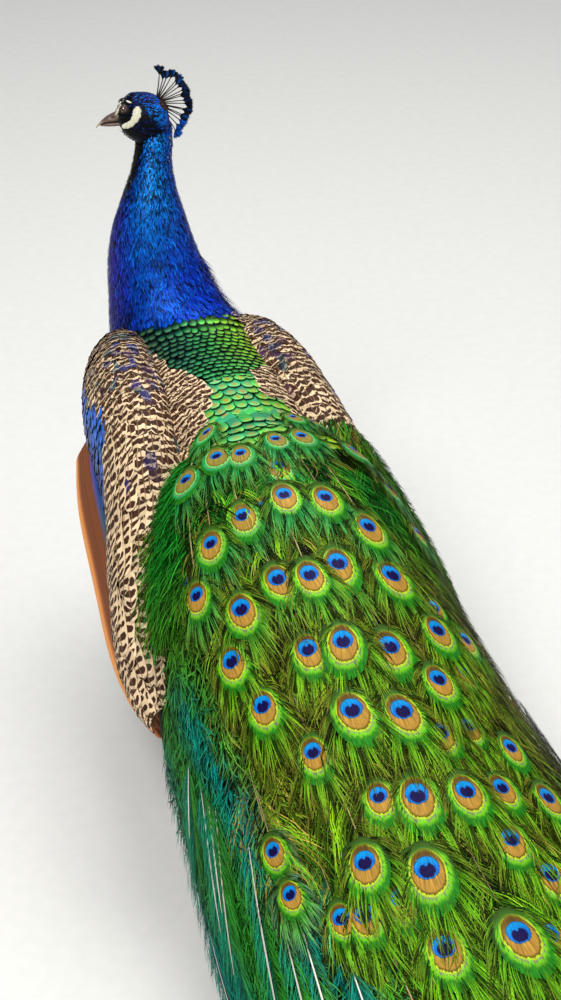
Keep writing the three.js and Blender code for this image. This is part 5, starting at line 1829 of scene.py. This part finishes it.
        gap = 1.4
        steps = np.arange(0, 230, gap)
        feather, step = np.meshgrid(np.arange(len(y)), np.arange(len(steps)), indexing="ij")
        feather, step = feather.ravel(), step.ravel()
        ahead = steps[step] + rng.uniform(0, gap, len(step)) + 0.6 * half[feather]
        front = 172 - 0.3 * np.abs(eyes_arc[feather])
        keep = (ahead < reach[feather] + 20) & (y[feather] - ahead > front)
        feather, ahead = np.tile(feather[keep], 2), np.tile(ahead[keep], 2)
        side = np.repeat([1.0, -1.0], len(feather) // 2)
        root_y, root_a = y[feather] - ahead, a[feather]
        place = ahead / 11 + side * 0.3
        lock = np.floor(place).astype(int) + 1 + 60 * feather + 30 * (side > 0)
        sway = np.random.default_rng(11).normal(0, 1, (lock.max() + 1, 4))[lock]
        gather = 0.16 * (place - np.floor(place) - 0.5)
        top = size("barb")
        long = top * (0.66 + 0.34 * smooth(ahead, 15, 90)) * rng.uniform(0.7, 1.15, len(feather))
        long *= 0.55 + 0.45 * smooth(y[feather], 200, 600)
        deg = root_a / DEG
        room = (wing_end(root_y + 25) - deg) * FLANK_DEGREE
        long = np.where((side > 0) & (deg > 10), np.minimum(long, np.maximum(room / 0.5, 10)), long)
        start = (0.82 + 0.16 * sway[:, 0] + gather + rng.normal(0, 0.03, len(feather))) * side
        bend = (-1.0 + 0.34 * sway[:, 1] + rng.normal(0, 0.04, len(feather))) * side
        level = shingle(ahead) + sunk[feather] + rng.uniform(-1.4, 0.6, len(feather))
        level = np.maximum(level, -6.5)
        lift = np.minimum(level + 3.0 + 1.2 * sway[:, 2], 4.2)
        points, vane = strip(train_point, root_y, root_a, long, rng.uniform(0.7, 1.4, len(feather)),
                             (0.75, 1.0, 0.9, 0.7, 0.12), start, bend, 1, (level, lift), 1.0, cols=2)
        place_y = root_y + 0.6 * long
        tint = train_tint(c, rng, place_y, root_a + side * 0.1)
        mood = sway[:, 3] + 0.4 * rng.normal(0, 1, len(feather))
        bright = 0.05 + 0.85 * smooth(mood, -0.7, 0.6) + 0.6 * smooth(mood, 0.6, 1.5)
        straw = (rng.random(len(feather)) < 0.14 + 0.22 * smooth(deg, 25, 50))[:, None]
        lime = 0.5 * smooth(mood, 0.5, 1.6)[:, None]
        tint = tint * (1 - lime) + screen(124, 178, 18) * lime
        tint = np.where(straw, screen(150, 136, 52), tint)
        tint = np.clip(varied(rng, tint, 0.2, 0.12) * bright[:, None], 0, 1)
        material = barb_material("train_barb")
        order = np.argsort(place_y)
        parts = int(np.ceil(len(order) * BARB_TRIANGLES / PIECE_TRIANGLES))
        for k, pick in enumerate(np.array_split(order, parts)):
            sheaf = Sheaf()
            sheaf.add(points[pick], tint[pick], vane[pick], train_map(root_y[pick], root_a[pick]))
            sheaf.piece(f"train_barbs_{k + 1}", "train_plumage", material)

    def flanks(self, c, rng):
        """Long feathers of both flanks, and loose barbs beside them, over the wings and at the end."""
        shafts, vanes, hair = Sheaf(), Sheaf(), Sheaf()
        for side in (1, -1):
            self.flank_feathers(c, rng, side, shafts, vanes)
            self.rim_barbs(c, rng, side, vanes)
        self.left_barbs(c, rng, vanes)
        self.right_barbs(c, rng, hair)
        self.wing_barbs(c, rng, hair)
        self.end_barbs(c, rng, vanes)
        horn = plume_material("pale_shaft", 3.0, 0.1, metallic=0.0, roughness=0.35)
        shafts.piece("flank_shafts", "train_plumage", horn)
        vanes.piece("flank_barbs", "train_plumage", barb_material("flank_barb"))
        hair.piece("loose_train_barbs", "train_plumage", barb_material("loose_barb"))

    def flank_feathers(self, c, rng, side, shafts, vanes):
        """The feathers of FLANK_SHAFTS on one side: pale shafts, each with barbs to both hands."""
        y0, a0, y1, a1 = FLANK_SHAFTS.T * np.array([1, DEG, 1, DEG])[:, None]
        long = y1 - y0
        mid_y = (y0 + y1) / 2
        per_turn = length_of(train_point(mid_y, a0 + 0.01) - train_point(mid_y, a0)) / 0.01
        turn = np.arctan2((a1 - a0) * per_turn, long) * side
        points, vane = strip(train_point, y0, a0 * side, long, 2.2, (0.5, 0.7, 0.85, 1.0, 1.0, 0.8, 0.3),
                             turn, 0.0, 1, (1.5, 4.2), 0.5, 0.3)
        # painted shade: the right side's shafts are the same ivory, darkened to 0.55
        tint = c["ivory"] * (1.0 if side > 0 else 0.55) * rng.uniform(0.5, 0.95, (len(long), 1))
        shafts.add(points, tint, vane, train_map(y0, a0 * side))
        each = 150
        k = np.repeat(np.arange(len(long)), each)
        t = np.tile(np.linspace(0, 1, each), len(long)) + rng.uniform(-0.005, 0.005, len(k))
        y = y0[k] + t * long[k]
        a = (a0[k] + t * (a1 - a0)[k]) * side
        hand = np.where(np.arange(len(k)) % 2 == 0, 1.0, -1.0)
        points, vane = strip(train_point, y, a, rng.uniform(26, 46, len(k)), rng.uniform(0.9, 1.5, len(k)),
                             SHORT_BARB, turn[k] + hand * rng.normal(0.62, 0.08, len(k)), -0.5 * hand, 1,
                             (1.5, rng.uniform(1.5, 4.0, len(k))), 0.6, cols=2)
        tint = train_tint(c, rng, y, a)
        outside = (hand * side > 0)[:, None]
        tint = np.where(outside, tint * 0.4 + c["teal"] * 0.6, tint * 0.8)
        vanes.add(points, varied(rng, tint, 0.45, 0.15), vane, train_map(y, a))

    def rim_barbs(self, c, rng, side, vanes):
        """Short barbs on the train's edge, on one side."""
        count = 4600 if side > 0 else 2600
        y = 130 + 1290 * rng.random(count) ** 0.9
        deg = rng.uniform(56, 84, count)
        keep = (side < 0) | (deg < wing_end(y))
        y, a = y[keep], side * deg[keep] * DEG
        points, vane = strip(train_point, y, a, rng.uniform(24, 50, len(y)), rng.uniform(1.1, 2.2, len(y)),
                             SHORT_BARB, side * rng.normal(0.14, 0.16, len(y)), -0.3 * side, 1,
                             (-6.0, rng.uniform(-4.0, 0.5, len(y))), 0.6, cols=2)
        vanes.add(points, varied(rng, train_tint(c, rng, y, a), 0.5, 0.2), vane, train_map(y, a))

    def left_barbs(self, c, rng, vanes):
        """Barbs over the left flank, and longer ones that lean out behind the wing."""
        y = 250 + 1120 * rng.random(9500) ** 1.15
        deg = rng.uniform(24, 87, len(y))
        keep = deg < wing_end(y)
        y, a = y[keep], deg[keep] * DEG
        points, vane = strip(train_point, y, a, rng.uniform(16, 34, len(y)), rng.uniform(1.3, 2.4, len(y)),
                             (0.7, 1.0, 0.8, 0.15), rng.normal(0.2, 0.4, len(y)), rng.normal(0, 0.4, len(y)),
                             1, (-5.0, rng.uniform(-3.0, 1.5, len(y))), 0.8, cols=2)
        tint = train_tint(c, rng, y, a) * np.where(rng.random(len(y)) < 0.3, 0.25, 1.0)[:, None]
        vanes.add(points, varied(rng, tint, 0.5, 0.2), vane, train_map(y, a))
        y = rng.uniform(128, 290, 1200)
        a = rng.uniform(44, 66, len(y)) * DEG
        points, vane = strip(train_point, y, a, rng.uniform(30, 58, len(y)), rng.uniform(1.0, 1.9, len(y)),
                             LONG_BARB, rng.uniform(0.35, 1.0, len(y)), rng.uniform(-0.9, 0.3, len(y)), 1,
                             (-1.0, rng.uniform(3.0, 15.0, len(y))), 1.5, cols=2)
        tint = train_tint(c, rng, y, a) * rng.choice([0.2, 0.8, 1.2], (len(y), 1))
        vanes.add(points, varied(rng, tint, 0.4, 0.2), vane, train_map(y, a))

    def right_barbs(self, c, rng, hair):
        """Long loose barbs over the right flank, brighter and darker in locks."""
        y = rng.uniform(190, 980, 5200)
        a = -rng.uniform(22, 86, len(y)) * DEG
        points, vane = strip(train_point, y, a, rng.uniform(30, 70, len(y)), rng.uniform(1.2, 2.2, len(y)),
                             LONG_BARB, -rng.normal(0.45, 0.3, len(y)), rng.normal(0.4, 0.4, len(y)), 1,
                             (-6.0, rng.uniform(-3.0, 2.0, len(y))), 0.8, cols=2)
        lock = np.sin(0.17 * y + 9 * a) + np.sin(0.05 * y - 21 * a) + rng.normal(0, 0.5, len(y))
        tint = train_tint(c, rng, y, a) * (0.2 + 1.1 * smooth(lock, -0.8, 1.2))[:, None]
        hair.add(points, varied(rng, tint, 0.4, 0.2), vane, train_map(y, a))

    def wing_barbs(self, c, rng, hair):
        """Loose barbs over the wings' last feathers: many on the right wing, few on the left."""
        for side, count, reach, most in ((-1, 6000, (4.9, 8.95), 100), (1, 700, (5.9, 7.4), 4)):
            s = rng.uniform(*reach, count)
            a = rng.uniform(-70, most, count) * DEG
            points, vane = strip(wing_surface(side), s, a, rng.uniform(28, 62, count),
                                 rng.uniform(1.0, 1.9, count), LONG_BARB, side * rng.uniform(0.0, 0.9, count),
                                 side * rng.uniform(-0.8, 0.2, count), 1,
                                 (2.0, rng.uniform(4.0, 11.0, count)), 1.5, cols=2)
            tint = blends(rng.random(count), c["olive"] * 0.8, c["green"] * 0.8, c["bronze"])
            tint = tint * rng.choice([0.25, 0.8, 1.4], (count, 1))
            hair.add(points, varied(rng, tint, 0.4, 0.2), vane, train_map(100 + 30 * s, a))

    def end_barbs(self, c, rng, vanes):
        """Barbs that close the train's end."""
        a = rng.uniform(-84, 84, 3600) * DEG
        y = 1300 + 110 * rng.random(len(a))
        long = np.minimum(rng.uniform(20, 60, len(y)), 1436 - y)
        points, vane = strip(train_point, y, a, long, rng.uniform(1.0, 1.8, len(y)), SHORT_BARB,
                             rng.normal(0, 0.3, len(y)), 0.0, 1, (-3.0, rng.uniform(-1.0, 3.0, len(y))), 0.4,
                             cols=2)
        vanes.add(points, varied(rng, train_tint(c, rng, y, a), 0.5, 0.2), vane, train_map(y, a))


class PEACOCK_PT_panel(bpy.types.Panel):
    """Lists the peacock's sizes, colours and pieces"""

    bl_idname = "PEACOCK_PT_panel"
    bl_label = "Peacock"
    bl_space_type = "VIEW_3D"
    bl_region_type = "UI"
    bl_category = "Peacock"

    def draw(self, context):
        for group in (context.scene.peacock_sizes, context.scene.peacock_colours):
            box = self.layout.box()
            for name in type(group).__annotations__:
                box.prop(group, name)
        for maker in MAKERS:
            self.layout.operator(maker.bl_idname)


MAKERS = (PEACOCK_OT_stage, PEACOCK_OT_skin, PEACOCK_OT_neck, PEACOCK_OT_belly, PEACOCK_OT_back,
          PEACOCK_OT_wings, PEACOCK_OT_quills, PEACOCK_OT_head, PEACOCK_OT_crest, PEACOCK_OT_legs,
          PEACOCK_OT_train)
GROUPS = (PeacockColours, PeacockSizes)


def register():
    """Registers the classes and puts the two groups on the scene."""
    for group in (*GROUPS, *MAKERS, PEACOCK_PT_panel):
        bpy.utils.register_class(group)
    bpy.types.Scene.peacock_colours = PointerProperty(type=PeacockColours)
    bpy.types.Scene.peacock_sizes = PointerProperty(type=PeacockSizes)


def unregister():
    """Takes back what register did."""
    del bpy.types.Scene.peacock_sizes
    del bpy.types.Scene.peacock_colours
    for group in (PEACOCK_PT_panel, *reversed(MAKERS), *reversed(GROUPS)):
        bpy.utils.unregister_class(group)


def main():
    """Makes every piece in order."""
    register()
    for maker in MAKERS:
        group, name = maker.bl_idname.split(".")
        getattr(getattr(bpy.ops, group), name)()


if __name__ == "__main__":
    main()
